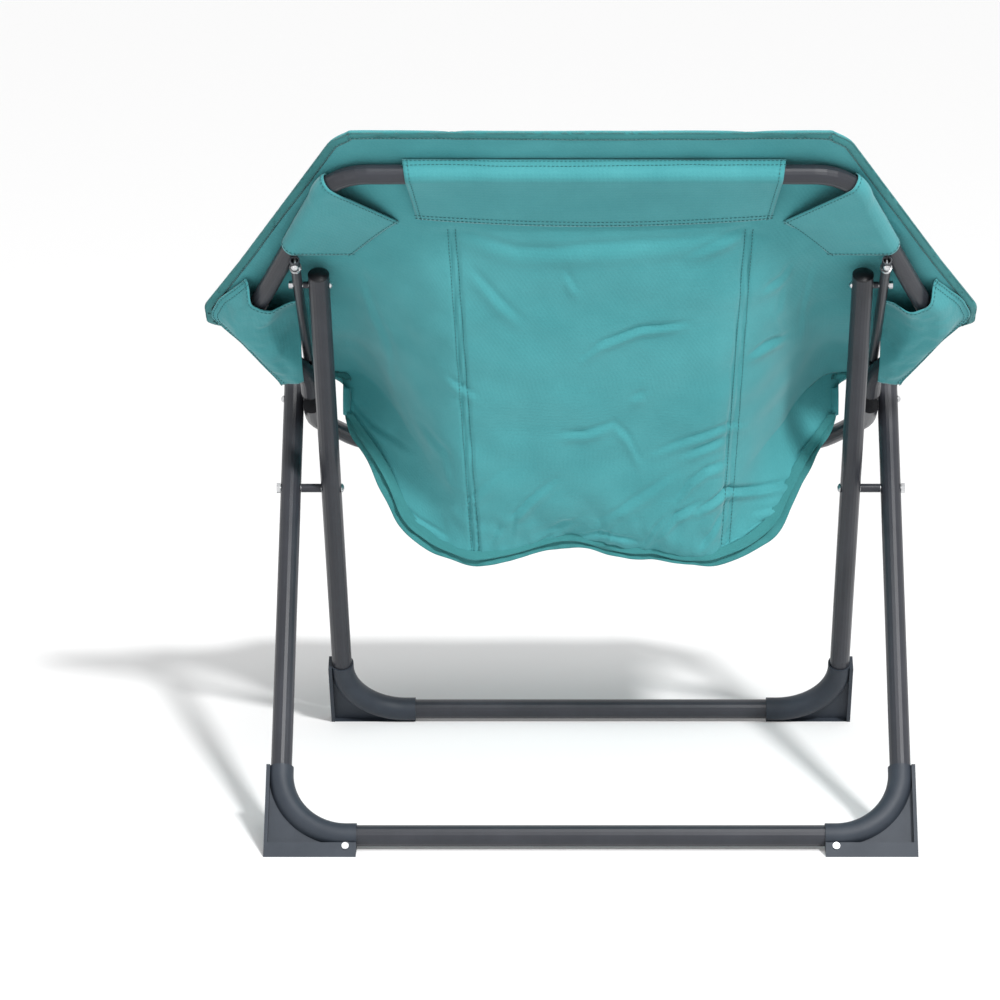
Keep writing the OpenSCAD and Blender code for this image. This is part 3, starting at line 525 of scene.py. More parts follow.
# Half widths that the folding legs leave free: at the bucket, and where the wings begin to narrow to it
CLEAR_X = 0.3385
WING_X = 0.375
FABRIC_OUT = 0.005
RIM_N = RING_D / 2 + 0.0026
RIM_RISE = 0.024
LOBE_L = 0.004
BELLY_L = BACK_RING_L - 0.009
BELLY_SOFT = 0.1
FLAT_SHARE = 0.48
RISE_L = 0.200
EDGE_STRIP = 0.004
SEAM_CLIMB = 0.8
SEAM_SOFT = 0.03
SEAM_DOWN = np.array([math.cos(BUCKET_A), -math.sin(BUCKET_A)])
SEAM_SIDE = np.array([math.sin(BUCKET_A), math.cos(BUCKET_A)])
# Share of the back's rows above the bucket, and share over which the wings narrow to it
WING_SHARE = 0.70
NARROW_SHARE = 0.10
FRONT_ROW_X = 0.316
FRONT_EDGE_X = 0.288
FRONT_ROW_L = 0.178
FRONT_EDGE_L = 0.211
FRONT_SAG = 0.014
FRONT_WAY_SHARE = 0.85
FRONT_RIM_SHARE = 0.0127

low = HINGE + BUCKET_DEPTH * SEAM_DOWN - RING_O
BELLY_SLOPE = (RIM_N - low @ RING_N) / (BELLY_L - low @ RING_T)


def pad_x(t):
    return PAD_HALF_W * share(t / PAD_TOP_L, EDGE_SHARE)


def section(c):
    return 1 - smooth((c - FLAT_SHARE) / (1 - FLAT_SHARE))


def seam_wave(x):
    return sum(deep * np.exp(-((x - at) / wide) ** 2) for deep, at, wide in SEAM_WAVES)


def seam_point(c, climb):
    r = BUCKET_DEPTH * share(np.minimum(c, 1), SEAM_R_SHARE, SEAM_SOFT) * (1 - SEAM_CLIMB * climb)
    x = BUCKET_X * share(np.minimum(c, 1), SEAM_X_SHARE, SEAM_SOFT)
    return world(x, HINGE + r[..., None] * SEAM_DOWN)


def back_face(c, row):
    """Rear face of the back: c runs 0..1 over the bucket and 1..2 over the rim, row 0..1 down to the seam."""
    t = mix(PAD_TOP_L, LOBE_L, np.minimum(row / WING_SHARE, 1))
    lobe = np.clip((row - WING_SHARE) / (1 - WING_SHARE), 0, 1)
    inner = np.minimum(BUCKET_X, pad_x(t) - EDGE_STRIP)
    k = np.minimum(c, 1)
    climb = np.maximum(c - 1, 0)
    x = inner * k + (pad_x(t) - inner) * climb
    rim = RIM_N + RIM_RISE * smooth((RISE_L - t) / (RISE_L - LOBE_L)) * (1 - section(k))
    hang = BELLY_SLOPE * np.maximum(0, BELLY_L - t) * smooth(0.5 + (BELLY_L - t) / BELLY_SOFT)
    return mix(ring_point(x, t, rim - hang * section(k)), seam_point(c, climb), lobe[..., None])


def front_face(c, row):
    """Under face of the seat: c as on the back, row 0..1 from the bottom seam to the front edge."""
    climb = np.maximum(c - 1, 0)
    k = np.minimum(c, 1)
    way = np.minimum(row / FRONT_WAY_SHARE, 1)
    over = np.clip((row - FRONT_WAY_SHARE) / (1 - FRONT_WAY_SHARE), 0, 1)
    x = mix(FRONT_ROW_X, FRONT_EDGE_X, over) * (k + climb * FRONT_RIM_SHARE)
    edge = front_point(x, mix(FRONT_ROW_L, FRONT_EDGE_L, over), np.full_like(x, RIM_N))
    sag = FRONT_SAG * 4 * way * (1 - way) * section(k)
    return mix(seam_point(c, climb), edge, way[..., None]) + along_yz(sag, -FRONT_N)


BACK_ROWS = 230
WING_ROWS = int(WING_SHARE * BACK_ROWS)
FRONT_ROWS = 70
HALF_COLS = 110
RIM_COLS = 20
half = np.concatenate([np.linspace(0, 1, HALF_COLS), 1 + np.linspace(0, 1, RIM_COLS + 1)[1:]])
cols = np.concatenate([-half[:0:-1], half])
signs = np.where(cols < 0, -1.0, 1.0)


def pad_grid(face, rows):
    c, r = np.meshgrid(np.abs(cols), rows)
    p = face(c, r)
    p[..., 0] *= signs[None, :]
    return p


back = pad_grid(back_face, np.linspace(0, 1, BACK_ROWS))
front = pad_grid(front_face, np.linspace(0, 1, FRONT_ROWS)[1:])
sheet = np.concatenate([back, front])
run_down = lengths(sheet, 0)
near_seam = np.exp(-((run_down - run_down[BACK_ROWS - 1:BACK_ROWS]) / WAVE_REACH) ** 2)
sheet += along_yz(near_seam * seam_wave(sheet[..., 0]), SEAM_DOWN)

CROWN_REACH = 0.06
SEAM_THICK_SHARE = 0.35


def crown(d):
    """A quarter round, from 0 at an edge to 1 where the padding is full."""
    return np.sqrt(1 - (1 - np.clip(d / CROWN_REACH, 0, 1)) ** 2)


def depth_of(p):
    """Padding: thin at every edge and at the bottom seam."""
    side = np.minimum(np.abs(p[..., 0] - p[:, :1, 0]), np.abs(p[..., 0] - p[:, -1:, 0]))
    down = lengths(p, 0)
    seam = np.abs(down - down[BACK_ROWS - 1:BACK_ROWS, :])
    full = np.minimum(np.minimum(crown(side), crown(down)),
                      np.minimum(crown(down[-1:, :] - down), mix(SEAM_THICK_SHARE, 1, crown(seam))))
    return mix(EDGE_T, PAD_T, full)


# The two sewn channels: pixel columns of their middles at two pixel rows, and the size of a pixel there
CHANNEL_ROWS_PX = (230, 550)
CHANNEL_LEFT_PX = (451.5, 475.5)
CHANNEL_RIGHT_PX = (749.0, 725.0)
PX_SIZE = 0.00135


def channel_px(py, left):
    columns = [np.interp(py, CHANNEL_ROWS_PX, px) for px in (CHANNEL_LEFT_PX, CHANNEL_RIGHT_PX)]
    return np.where(left, *columns)


def from_channels(p):
    """Distance of points across the nearer channel, in metres."""
    px = photo_px(p)
    return (px[..., 0] - channel_px(px[..., 1], p[..., 0] > 0)) * PX_SIZE


# Creases seen in the photograph, in its pixels: depth in mm, half width in pixels, then the stroke
CREASES_PX = [
    (3.2, 3.0, (583, 355), (600, 341), (640, 326), (686, 322)), (2.0, 4.0, (566, 270), (577, 290)),
    (2.4, 4.0, (690, 252), (722, 238), (748, 226)), (2.0, 3.5, (446, 378), (460, 388), (476, 396)),
    (2.4, 3.5, (560, 432), (585, 431), (614, 422)), (2.6, 3.5, (614, 422), (628, 436), (640, 462)),
    (1.8, 4.0, (632, 397), (645, 390)), (2.6, 3.0, (683, 455), (700, 447), (727, 440)),
    (2.4, 3.0, (655, 452), (690, 437), (722, 428), (748, 424)),
    (3.4, 3.0, (676, 498), (690, 480), (706, 468), (727, 463)),
    (4.6, 3.0, (697, 508), (712, 500), (727, 490), (760, 487), (800, 479)),
    (3.0, 3.0, (655, 535), (676, 512), (700, 500)), (2.6, 3.0, (640, 548), (655, 525), (668, 512)),
    (2.6, 3.5, (512, 543), (514, 514), (530, 498), (556, 478)), (2.0, 3.5, (548, 530), (575, 520)),
    (2.2, 4.0, (600, 520), (640, 495), (676, 470)), (3.2, 3.0, (752, 356), (768, 344), (787, 336)),
    (2.4, 3.5, (764, 289), (782, 276), (790, 262)), (2.2, 4.0, (787, 336), (778, 312), (784, 280)),
    (3.0, 3.0, (757, 511), (778, 507), (795, 492)), (3.0, 3.0, (748, 542), (762, 524), (780, 510)),
    (2.4, 3.0, (700, 548), (712, 530), (722, 512)), (2.4, 5.0, (472, 270), (500, 300), (520, 318)),
    (2.2, 5.0, (360, 262), (374, 300), (392, 345), (398, 395)),
    (2.2, 4.0, (812, 262), (802, 310), (798, 352)),
    (2.4, 4.0, (345, 390), (372, 424), (410, 448)), (2.0, 4.0, (420, 420), (446, 452), (455, 490)),
    (2.4, 6.0, (452, 229), (519, 249), (554, 248), (693, 237), (746, 229)),
    (2.2, 3.0, (604, 545), (612, 525)),
    (2.2, 3.0, (492, 545), (500, 525)), (2.4, 3.0, (560, 540), (600, 532), (640, 540)),
    (2.2, 3.0, (530, 549), (560, 530)), (2.0, 3.0, (396, 500), (420, 520), (446, 536)),
    (2.2, 3.5, (820, 430), (800, 452), (790, 470)), (2.0, 4.0, (500, 470), (470, 500), (468, 530)),
]
MM = 0.001
# A crease is a valley and a ridge below it: widths and the ridge's distance, as shares of its half width
CREASE_GAIN = 1.25
VALLEY_SHARE = 0.75
RIDGE_SHARE = 1.3
RIDGE_OFF_SHARE = 1.9
STROKE_END_SHARE = 0.03


def stroke_reach(px, line, width):
    """How near pixels are to a stroke, from 1 on it to 0, fading towards its ends."""
    best = np.zeros(px.shape[:-1])
    line = np.array(line, dtype=float)
    run = run_along(line)
    for a, b, start in zip(line[:-1], line[1:], run):
        ab = b - a
        k = np.clip(((px - a) @ ab) / (ab @ ab), 0, 1)
        gap_to = np.linalg.norm(px - a - k[..., None] * ab, axis=-1)
        at = np.clip((start + k * np.linalg.norm(ab)) / run[-1], STROKE_END_SHARE, 1 - STROKE_END_SHARE)
        best = np.maximum(best, np.exp(-(gap_to / width) ** 2) * np.sqrt(np.sin(math.pi * at)))
    return best


# Stitch lines of a channel, across its middle, with the width and depth of their grooves
CHANNEL_LINES = (-0.0042, 0.0042)
CHANNEL_W = 0.0022
CHANNEL_DEEP = 0.0034
# The padding's swell between the channels, its height and how soon it is full
PUFF = 0.004
PUFF_W = 0.03
SEAT_GROOVE = 0.006
SEAT_GROOVE_W = 0.02
# Soft relief: height in metres, stretch of the noise up the pad, its scale and its seed
SWELL = (0.0065, 1.0, 7.0, 1)
DIMPLE = (0.0024, 1.0, 22.0, 2)
RUFFLE = (0.0045, 0.45, 17.0, 3)
GATHER = (0.0032, 0.35, 60.0, 4)
SEAT_SWELL = (0.004, 1.0, 8.0, 5)
SEAT_DIMPLE = (0.0018, 1.0, 26.0, 6)
# Pixel rows where the channels, the ruffles and the gathers begin, and how many rows they take to be full
CHANNEL_FROM_PX = (225, 12)
RUFFLE_FROM_PX = (360, 150)
GATHER_FROM_PX = (490, 50)
# Where the padding is thick enough to swell: gain and start of the share of its thickness
INSIDE_GAIN = 1.4
INSIDE_FROM = 0.5
FACE_IN = 0.003


def relief(p, height, stretch, scale, seed):
    return height * bumps(p * np.array([1.0, 1.0, stretch]), scale, seed)


def from_px_row(px, start, rows):
    return smooth((px[..., 1] - start) / rows)


def inside_of(thick):
    return smooth(thick / PAD_T * INSIDE_GAIN - INSIDE_FROM)


def channel_grooves(across):
    return sum(np.exp(-((across - line) / CHANNEL_W) ** 2) for line in CHANNEL_LINES)


def pad_move(p, thick):
    """How far the rear face moves along its normal: swell, ruffles, sewn channels and creases."""
    px = photo_px(p)
    across = from_channels(p)
    below_sleeve = from_px_row(px, *CHANNEL_FROM_PX)
    inside = inside_of(thick)
    puff = PUFF * inside * (1 - np.exp(-(across / PUFF_W) ** 2) * below_sleeve)
    crease = 0
    for deep, wide, *line in CREASES_PX:
        valley = stroke_reach(px, line, wide * VALLEY_SHARE)
        ridge = stroke_reach(px - np.array([0, wide * RIDGE_OFF_SHARE]), line, wide * RIDGE_SHARE)
        crease = crease + deep * MM * (valley - ridge)
    return (puff + relief(p, *SWELL) * inside + relief(p, *DIMPLE) * inside
            + relief(p, *RUFFLE) * from_px_row(px, *RUFFLE_FROM_PX)
            + relief(p, *GATHER) * from_px_row(px, *GATHER_FROM_PX)
            - CREASE_GAIN * crease * inside - CHANNEL_DEEP * channel_grooves(across) * below_sleeve - FACE_IN)


def seat_move(p, thick):
    """The same for the seat side, which has the swell and the channels."""
    across = from_channels(p)
    groove = CHANNEL_DEEP * channel_grooves(across) + SEAT_GROOVE * np.exp(-(across / SEAT_GROOVE_W) ** 2)
    return (relief(p, *SEAT_SWELL) + relief(p, *SEAT_DIMPLE) - groove) * inside_of(thick)


normal = normals_of(sheet)
if normal[BACK_ROWS // 2, len(cols) // 2, 1] < 0:
    normal = -normal
thick = depth_of(sheet)
outer = sheet + normal * pad_move(sheet, thick)[..., None]
inner = sheet - normal * (thick - FACE_IN + seat_move(sheet, thick))[..., None]
bucket_rows = smooth((np.linspace(0, 1, BACK_ROWS) - WING_SHARE) / NARROW_SHARE)
side_room = np.concatenate([mix(WING_X, CLEAR_X, bucket_rows), np.full(FRONT_ROWS - 1, CLEAR_X)])[:, None]
side_room[:WING_ROWS] = PAD_HALF_W + FABRIC_OUT
for face in (outer, inner):
    face[..., 0] = np.clip(face[..., 0], -side_room, side_room)

# The rear face lies on the ring's tube and not in it
ON_TUBE = 0.0009
TUBE_REACH = 0.012
wing = outer[:WING_ROWS]
up_ring = (wing[..., 1:] - RING_O) @ RING_T
off_ring = (wing[..., 1:] - RING_O) @ RING_N
places = np.stack([np.abs(wing[..., 0]), up_ring], axis=-1)
from_tube = np.min([np.linalg.norm(places - at, axis=-1) for at in AXIS], axis=0)
from_tube = np.where(places[..., 0] < AXIS[0, 0], np.abs(up_ring - BACK_RING_L), from_tube)
lift = np.maximum(0, RING_D / 2 + ON_TUBE - off_ring) * (1 - smooth(from_tube / TUBE_REACH - 1))
outer[:WING_ROWS] += along_yz(lift, RING_N)


def across_hinge(obj):
    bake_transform(obj)


pad = closed_sheet("seat_pad", outer, inner, PAD_CLOTH)
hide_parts("back_pad", "front_pad")
across_hinge(pad)

pad_points = [v.co[:] for v in pad.data.vertices]
pad_tree = BVHTree.FromPolygons(pad_points, [tuple(p.vertices) for p in pad.data.polygons])
PAD_MIDDLE_PX = np.array([590.0, 330.0])
NUDGE_PX = 2.0
NUDGES = 12


def on_pad(px, lift):
    """Where a pixel of the photograph lies on the pad's rear face, and the way out of the face there."""
    px = np.array(px, dtype=float)
    for _ in range(NUDGES):
        ray = photo_ray(px)
        at, out, _, _ = pad_tree.ray_cast(Vector(CAMERA_AT), ray)
        if at is not None:
            break
        px += NUDGE_PX * unit(PAD_MIDDLE_PX - px)
    if at is None:
        raise ValueError(f"the pad does not reach pixel {px}")
    if out.dot(ray) > 0:
        out = -out
    return np.array(at) + lift * np.array(out), np.array(out)


def pad_line(px_line, lift):
    """Points on the pad at pixels of the photograph, and the ways out of it there."""
    hits = [on_pad(px, lift) for px in px_line]
    return np.array([h[0] for h in hits]), np.array([h[1] for h in hits])


def snap_to_pad(points, lift):
    """Points moved to the pad's nearest face and lifted off it."""
    out = []
    for p in points.reshape(-1, 3):
        at, way, _, _ = pad_tree.find_nearest(Vector(p))
        out.append(np.array(at) + np.array(way) * lift)
    return np.array(out).reshape(points.shape)


ROUND_POINTS = 12


def wrap_over(first, last, centre, axis, radius, count, slack=0.0):
    """A strip of cloth drawn from one seam to another round the rear side of a rod."""
    rows = []
    for p, q, c, k in zip(first, last, centre, unit(axis)):
        side = np.cross(k, OUT_OF_RING)
        if (p - q) @ side < 0:
            side = -side
        p2, q2 = (np.array([(v - c) @ side, (v - c) @ OUT_OF_RING]) for v in (p, q))
        reach = [math.acos(min(1, radius / np.linalg.norm(v))) for v in (p2, q2)]
        at_p = math.atan2(p2[1], p2[0]) - reach[0]
        turn_q = math.atan2(q2[1], q2[0])
        at_q = (turn_q - 2 * math.pi if turn_q > 0 else turn_q) + reach[1]
        line = [p2]
        if at_q < at_p:
            turns = np.linspace(at_p, at_q, ROUND_POINTS)
            line += [radius * np.array([math.cos(a), math.sin(a)]) for a in turns]
        line = spread(line + [q2], count)
        t = np.linspace(0, 1, count)
        line[:, 1] += slack * np.sin(math.pi * t) ** 2
        along = mix((p - c) @ k, (q - c) @ k, t)
        rows.append(c + line[:, :1] * side + line[:, 1:] * OUT_OF_RING + along[:, None] * k)
    return np.array(rows)


def cloth_piece(name, face, node):
    """A sheet of cloth on the pad side of a grid of points, for a CAD node; gives the way out of it."""
    out = normals_of(face)
    if out[face.shape[0] // 2, face.shape[1] // 2] @ OUT_OF_RING > 0:
        out = -out
    obj = closed_sheet(name, face, face - out * CLOTH_T, TRIM_CLOTH)
    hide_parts(node)
    across_hinge(obj)
    return out


def off_edge(face, out, side, inset):
    """A line at one distance in from an edge of a grid, just off it, with the grid's normals."""
    turned = {"top": (face, out), "low": (face[::-1], out[::-1]),
              "left": (face.swapaxes(0, 1), out.swapaxes(0, 1)),
              "right": (face[:, ::-1].swapaxes(0, 1), out[:, ::-1].swapaxes(0, 1))}[side]
    run = lengths(turned[0], 0)
    places = [(j, k) for j in range(run.shape[1]) for k in range(3)]
    line, way = (
        np.array([np.interp(inset, run[:, j], grid[:, j, k]) for j, k in places]).reshape(-1, 3)
        for grid in turned
    )
    return line + GAP * way, way


def seam_rows(face, out, places):
    """Stitched lines along a grid's edges; places gives each side with its distances in from the edge."""
    return [off_edge(face, out, side, inset) for side, insets in places for inset in insets]


COVER_R = RING_D / 2 + CLOTH_T + 0.0006
ON_PAD = CLOTH_T + GAP

# Sleeve over the top bar
SLEEVE_TOP_PX = 158
SLEEVE_LOW_PX = 218
SLEEVE_SAG_PX = 8
SLEEVE_SAG_POWER = 0.8
SLEEVE_LEFT_PX = (402, 417)
SLEEVE_RIGHT_PX = (786, 771)
SLEEVE_COLS = 90
SLEEVE_TURNS = 44
SLEEVE_SLACK = 0.002
BAR_WAY_SHARE = 0.3
SLEEVE_SEAMS = [("top", (0.0025, 0.0095)), ("low", (0.003, 0.010)), ("left", (0.006,)), ("right", (0.006,))]
across = np.linspace(0, 1, SLEEVE_COLS)
top_px = spread([(SLEEVE_LEFT_PX[0], SLEEVE_TOP_PX), (SLEEVE_RIGHT_PX[0], SLEEVE_TOP_PX)], SLEEVE_COLS)
low_px = np.stack([mix(SLEEVE_LEFT_PX[1], SLEEVE_RIGHT_PX[1], across),
                   SLEEVE_LOW_PX + SLEEVE_SAG_PX * np.sin(math.pi * across) ** SLEEVE_SAG_POWER], axis=-1)
seam_top, _ = pad_line(top_px, ON_PAD)
seam_low, _ = pad_line(low_px, ON_PAD)
bar = ring_point(mix(seam_top[:, 0], seam_low[:, 0], BAR_WAY_SHARE), np.full(SLEEVE_COLS, BACK_RING_L),
                 np.zeros(SLEEVE_COLS))
along_bar = np.tile([1.0, 0, 0], (SLEEVE_COLS, 1))
sleeve = wrap_over(seam_top, seam_low, bar, along_bar, COVER_R, SLEEVE_TURNS, SLEEVE_SLACK).swapaxes(0, 1)
out = cloth_piece("top_sleeve_cloth", sleeve, "top_sleeve")
thread_rows = seam_rows(sleeve, out, SLEEVE_SEAMS)

# Corner patches and side pockets on the ring's left side in the photograph; the others mirror them
axis_points = ring_point(AXIS[:, 0], AXIS[:, 1], np.zeros(len(AXIS)))
axis_px = photo_px(axis_points)


def ring_stretch(first_px, last_px, count):
    """The ring's centre line between two places given in the photograph."""
    ends = [int(np.argmin(np.linalg.norm(axis_px - np.array(px), axis=-1))) for px in (first_px, last_px)]
    return spread(axis_points[min(ends):max(ends) + 1], count)


# Corner patch: its two seams on the pad and its stretch of the ring, in pixels, then its folds and stitches
PATCH_OUTER_PX = [(328, 176), (312, 192), (297, 212), (287, 232)]
PATCH_INNER_PX = [(399, 221), (386, 229), (372, 239), (352, 254)]
PATCH_RING_PX = [(343, 186), (291, 250)]
PATCH_COUNT = 40
PATCH_FOLD = 0.0016
PATCH_FOLD_FROM = 0.2
PATCH_SEED = 11
PATCH_SEAMS = [("left", (0.0025, 0.009)), ("right", (0.004,)), ("low", (0.004,)), ("top", (0.004,))]
# Side pocket: shares of the corner's distance up the ring, for its lower edge and mouth from the inner end to
# the outer one, and against them its outer edge and its rise to the pad, then how softly the tables after the
# first are read
POCKET_LOW_SHARE = [(0, 0.36), (1, 0.22)]
POCKET_MOUTH_SHARE = [(0, 1.41), (0.3, 1.345), (0.55, 1.37), (0.75, 1.44), (0.88, 1.51), (1, 1.55)]
POCKET_OUT_SHARE = [
    (0.233, 0.26), (0.5, 0.49), (0.748, 0.68), (0.948, 0.88), (1.06, 0.95), (1.27, 0.84), (1.55, 0.51)
]
POCKET_RISE_SHARE = [(0.233, 0), (0.532, 0.5), (0.948, 0.95), (1.73, 0.95)]
MOUTH_SOFT_SHARE = 0.06
OUT_SOFT_SHARE = 0.05
RISE_SOFT_SHARE = 0.04
POCKET_ROWS = 70
POCKET_COLS = 56
POCKET_IN_X = STAY_X + 0.0055
POCKET_FLAT_SHARE = 0.72
POCKET_FALL = 0.010
POCKET_FALL_W = 0.035
POCKET_RIM_N = RIM_N - 0.0035
POCKET_SEED = 21
POCKET_SEAMS = [("right", (0.0025, 0.009)), ("low", (0.004,))]
# Its inner side is sewn to the pad from this distance up the ring, over this share across, and up to this
# share of the corner's distance
SEWN_FROM_L = 0.10
SEWN_SOFT_L = 0.06
SEWN_ACROSS_SHARE = 0.35
SEWN_TO_SHARE = 1.15
SEWN_END_SHARE = 0.3
# Its mouth hangs open by this much, over the last share of its rows
MOUTH_OPEN = 0.004
MOUTH_FROM_SHARE = 0.8
MOUTH_POWER = 0.7
# Loose folds: height, stretch and scale of the larger ones, height and scale of the ripples
POCKET_FOLD = 0.005
POCKET_STRETCH = np.array([0.8, 1.0, 0.45])
FOLD_SCALE = 34.0
RIPPLE = 0.0012
RIPPLE_SCALE = 80.0
LOOSE_END_SHARE = 0.02


def pocket_face(seed):
    row, c = np.meshgrid(np.linspace(0, 1, POCKET_ROWS), np.linspace(0, 1, POCKET_COLS), indexing="ij")
    s = mix(share(c, POCKET_LOW_SHARE), share(c, POCKET_MOUTH_SHARE, MOUTH_SOFT_SHARE), row)
    x = mix(POCKET_IN_X, PAD_HALF_W, share(s, POCKET_OUT_SHARE, OUT_SOFT_SHARE) * c)
    t = s * BACK_SIDE_L
    flat = np.stack([x, t], axis=-1).reshape(-1, 2)
    from_axis = np.min(np.linalg.norm(flat[:, None] - AXIS[None], axis=-1), axis=1).reshape(x.shape)
    over_rod = -np.sqrt(np.maximum(COVER_R ** 2 - from_axis ** 2, 0))
    n = np.minimum(over_rod, -COVER_R + POCKET_FALL * smooth((from_axis - COVER_R / 2) / POCKET_FALL_W))
    rise = share(s, POCKET_RISE_SHARE, RISE_SOFT_SHARE)
    n = mix(n, POCKET_RIM_N, rise * smooth((c - POCKET_FLAT_SHARE) / (1 - POCKET_FLAT_SHARE)))
    sewn = smooth((t - SEWN_FROM_L) / SEWN_SOFT_L) * smooth(1 - c / SEWN_ACROSS_SHARE)
    n = mix(n, POCKET_RIM_N, sewn * (1 - smooth((s - SEWN_TO_SHARE) / SEWN_END_SHARE)))
    mouth = smooth((row - MOUTH_FROM_SHARE) / (1 - MOUTH_FROM_SHARE)) * (1 - c) ** MOUTH_POWER
    face = ring_point(x, t, n - MOUTH_OPEN * mouth)
    loose = np.sqrt(np.sin(math.pi * np.clip(c, LOOSE_END_SHARE, 1 - LOOSE_END_SHARE)))
    fold = POCKET_FOLD * np.abs(bumps(face * POCKET_STRETCH, FOLD_SCALE, seed))
    fold += RIPPLE * bumps(face, RIPPLE_SCALE, seed + 1)
    return face - OUT_OF_RING * (np.maximum(fold, 0) * loose)[..., None]


def patch_face(seed):
    seam_out, _ = pad_line(spread(PATCH_OUTER_PX, PATCH_COUNT), ON_PAD)
    seam_in, _ = pad_line(spread(PATCH_INNER_PX, PATCH_COUNT), ON_PAD)
    middle = ring_stretch(*PATCH_RING_PX, PATCH_COUNT)
    face = wrap_over(seam_out, seam_in, middle, np.gradient(middle, axis=0), COVER_R, PATCH_COUNT)
    free = np.sin(math.pi * np.linspace(0, 1, PATCH_COUNT))[None, :]
    wave = PATCH_FOLD * (bumps(face, FOLD_SCALE, seed) - PATCH_FOLD_FROM) * free
    return face - OUT_OF_RING * np.maximum(0, wave)[..., None]


for word, sign in (("right", 1), ("left", -1)):
    mirror = np.array([sign, 1, 1])
    patch = patch_face(PATCH_SEED + sign) * mirror
    out = cloth_piece(word + "_corner_cloth", patch, word + "_corner_patch")
    thread_rows += seam_rows(patch, out, PATCH_SEAMS)
    pocket = pocket_face(POCKET_SEED + sign) * mirror
    out = cloth_piece(word + "_pocket_cloth", pocket, word + "_side_pocket")
    thread_rows += seam_rows(pocket, out, POCKET_SEAMS)

# Sleeve round the front bar: it wraps the bar's front and ends in a flap under the pad
FRONT_SLEEVE_X = 0.212
FRONT_SLEEVE_COLS = 80
FRONT_TURN_DEG = (80, -100)
FRONT_TURN_POINTS = 40
FRONT_TURNS = 44
FRONT_FLAP_L = 0.034
FRONT_FLAP_N = 0.004
FRONT_NARROW_SHARE = 0.03
FRONT_THIN_SHARE = 0.6
FRONT_SEAMS = [("low", (0.003, 0.010))]


def front_sleeve_face():
    angle = np.radians(np.linspace(*FRONT_TURN_DEG, FRONT_TURN_POINTS))
    loop = np.stack([FRONT_RING_L + COVER_R * np.cos(angle), COVER_R * np.sin(angle)], axis=-1)
    flap_end = np.array([FRONT_RING_L - FRONT_FLAP_L, -COVER_R + FRONT_FLAP_N])
    profile = spread(np.concatenate([loop, [flap_end]]), FRONT_TURNS)
    x, s = np.meshgrid(np.linspace(-FRONT_SLEEVE_X, FRONT_SLEEVE_X, FRONT_SLEEVE_COLS), profile[:, 0])
    n = np.broadcast_to(profile[:, 1:], x.shape)
    return front_point(x * (1 - FRONT_NARROW_SHARE * np.linspace(0, 1, FRONT_TURNS)[:, None]), s, n)


# Its cloth lies outside the grid of points, and its stitches on the inner side
front_sleeve = front_sleeve_face()
inward = normals_of(front_sleeve)
bar_middle = FRONT_O - FRONT_RING_L * FRONT_T
if np.sum(inward[..., 1:] * (bar_middle - front_sleeve[..., 1:])) < 0:
    inward = -inward
front_outside = front_sleeve - inward * CLOTH_T * FRONT_THIN_SHARE
front_cloth = closed_sheet("front_sleeve_cloth", front_sleeve, front_outside, TRIM_CLOTH)
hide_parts("front_sleeve")
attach(front_cloth, "front_ring")
front_rows = seam_rows(front_sleeve, inward, FRONT_SEAMS)

# Binding folded round the pad's edge, from one end of the bottom seam over the top to the other
BINDING_W = 0.011
BINDING_T = 0.0012
BINDING_LIFT = 0.0009
BINDING_END_ROWS = 46
BINDING_FLAT_ROWS = 5
BINDING_ROUND_ROWS = 9
BINDING_ROUND_SHARE = 0.6
BINDING_SEAMS = [("top", (0.0018,)), ("low", (0.0018,))]


def pad_edge_loop():
    """The pad's edge as matching points on its rear and its seat face."""
    up = range(BACK_ROWS - BINDING_END_ROWS, -1, -1)
    last_col = len(cols) - 1
    loop = [(r, 0) for r in up] + [(0, c) for c in range(1, last_col)] + [(r, last_col) for r in reversed(up)]
    return np.array([outer[k] for k in loop]), np.array([inner[k] for k in loop])


def bound_edge(rear, seat):
    """Tape folded over an edge: rows run round the fold, from the rear face to the seat face."""
    middle = (rear + seat) / 2
    thickness = np.linalg.norm(rear - seat, axis=1, keepdims=True)
    deep = (rear - seat) / thickness
    outwards = unit(np.cross(unit(np.gradient(middle, axis=0)), deep))
    if np.sum(outwards * (middle - middle.mean(axis=0))) < 0:
        outwards = -outwards
    inwards = np.linspace(0, 1, BINDING_FLAT_ROWS)
    rows = [snap_to_pad(rear - outwards * BINDING_W * k, BINDING_LIFT) for k in inwards[::-1]]
    r = thickness / 2 + BINDING_LIFT
    for a in np.linspace(0, math.pi, BINDING_ROUND_ROWS)[1:-1]:
        rows.append(middle + deep * r * math.cos(a) + outwards * r * BINDING_ROUND_SHARE * math.sin(a))
    rows += [snap_to_pad(seat - outwards * BINDING_W * k, BINDING_LIFT) for k in inwards]
    return np.array(rows)


rear, seat = pad_edge_loop()
tape = bound_edge(rear, seat)
under = tape + unit((rear + seat) / 2 - tape) * BINDING_T
binding = closed_sheet("edge_binding", tape, under, BINDING_AND_SEAM_SHADE)
across_hinge(binding)
tape_out = normals_of(tape)
if np.sum(tape_out * (tape - under)) < 0:
    tape_out = -tape_out
thread_rows += seam_rows(tape, tape_out, BINDING_SEAMS)

# Seams: double rows down the two channels
STITCH_OFF_PX = 4.0
CHANNEL_POINTS = 90
CHANNEL_LIFT = 0.0003
for left in (True, False):
    for off in (-STITCH_OFF_PX, STITCH_OFF_PX):
        rows_px = np.linspace(*CHANNEL_ROWS_PX, CHANNEL_POINTS)
        thread_rows.append(pad_line([(channel_px(py, left) + off, py) for py in rows_px], CHANNEL_LIFT))

across_hinge(stitches("stitching", thread_rows, THREAD))
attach(stitches("front_stitching", front_rows, THREAD), "front_ring")
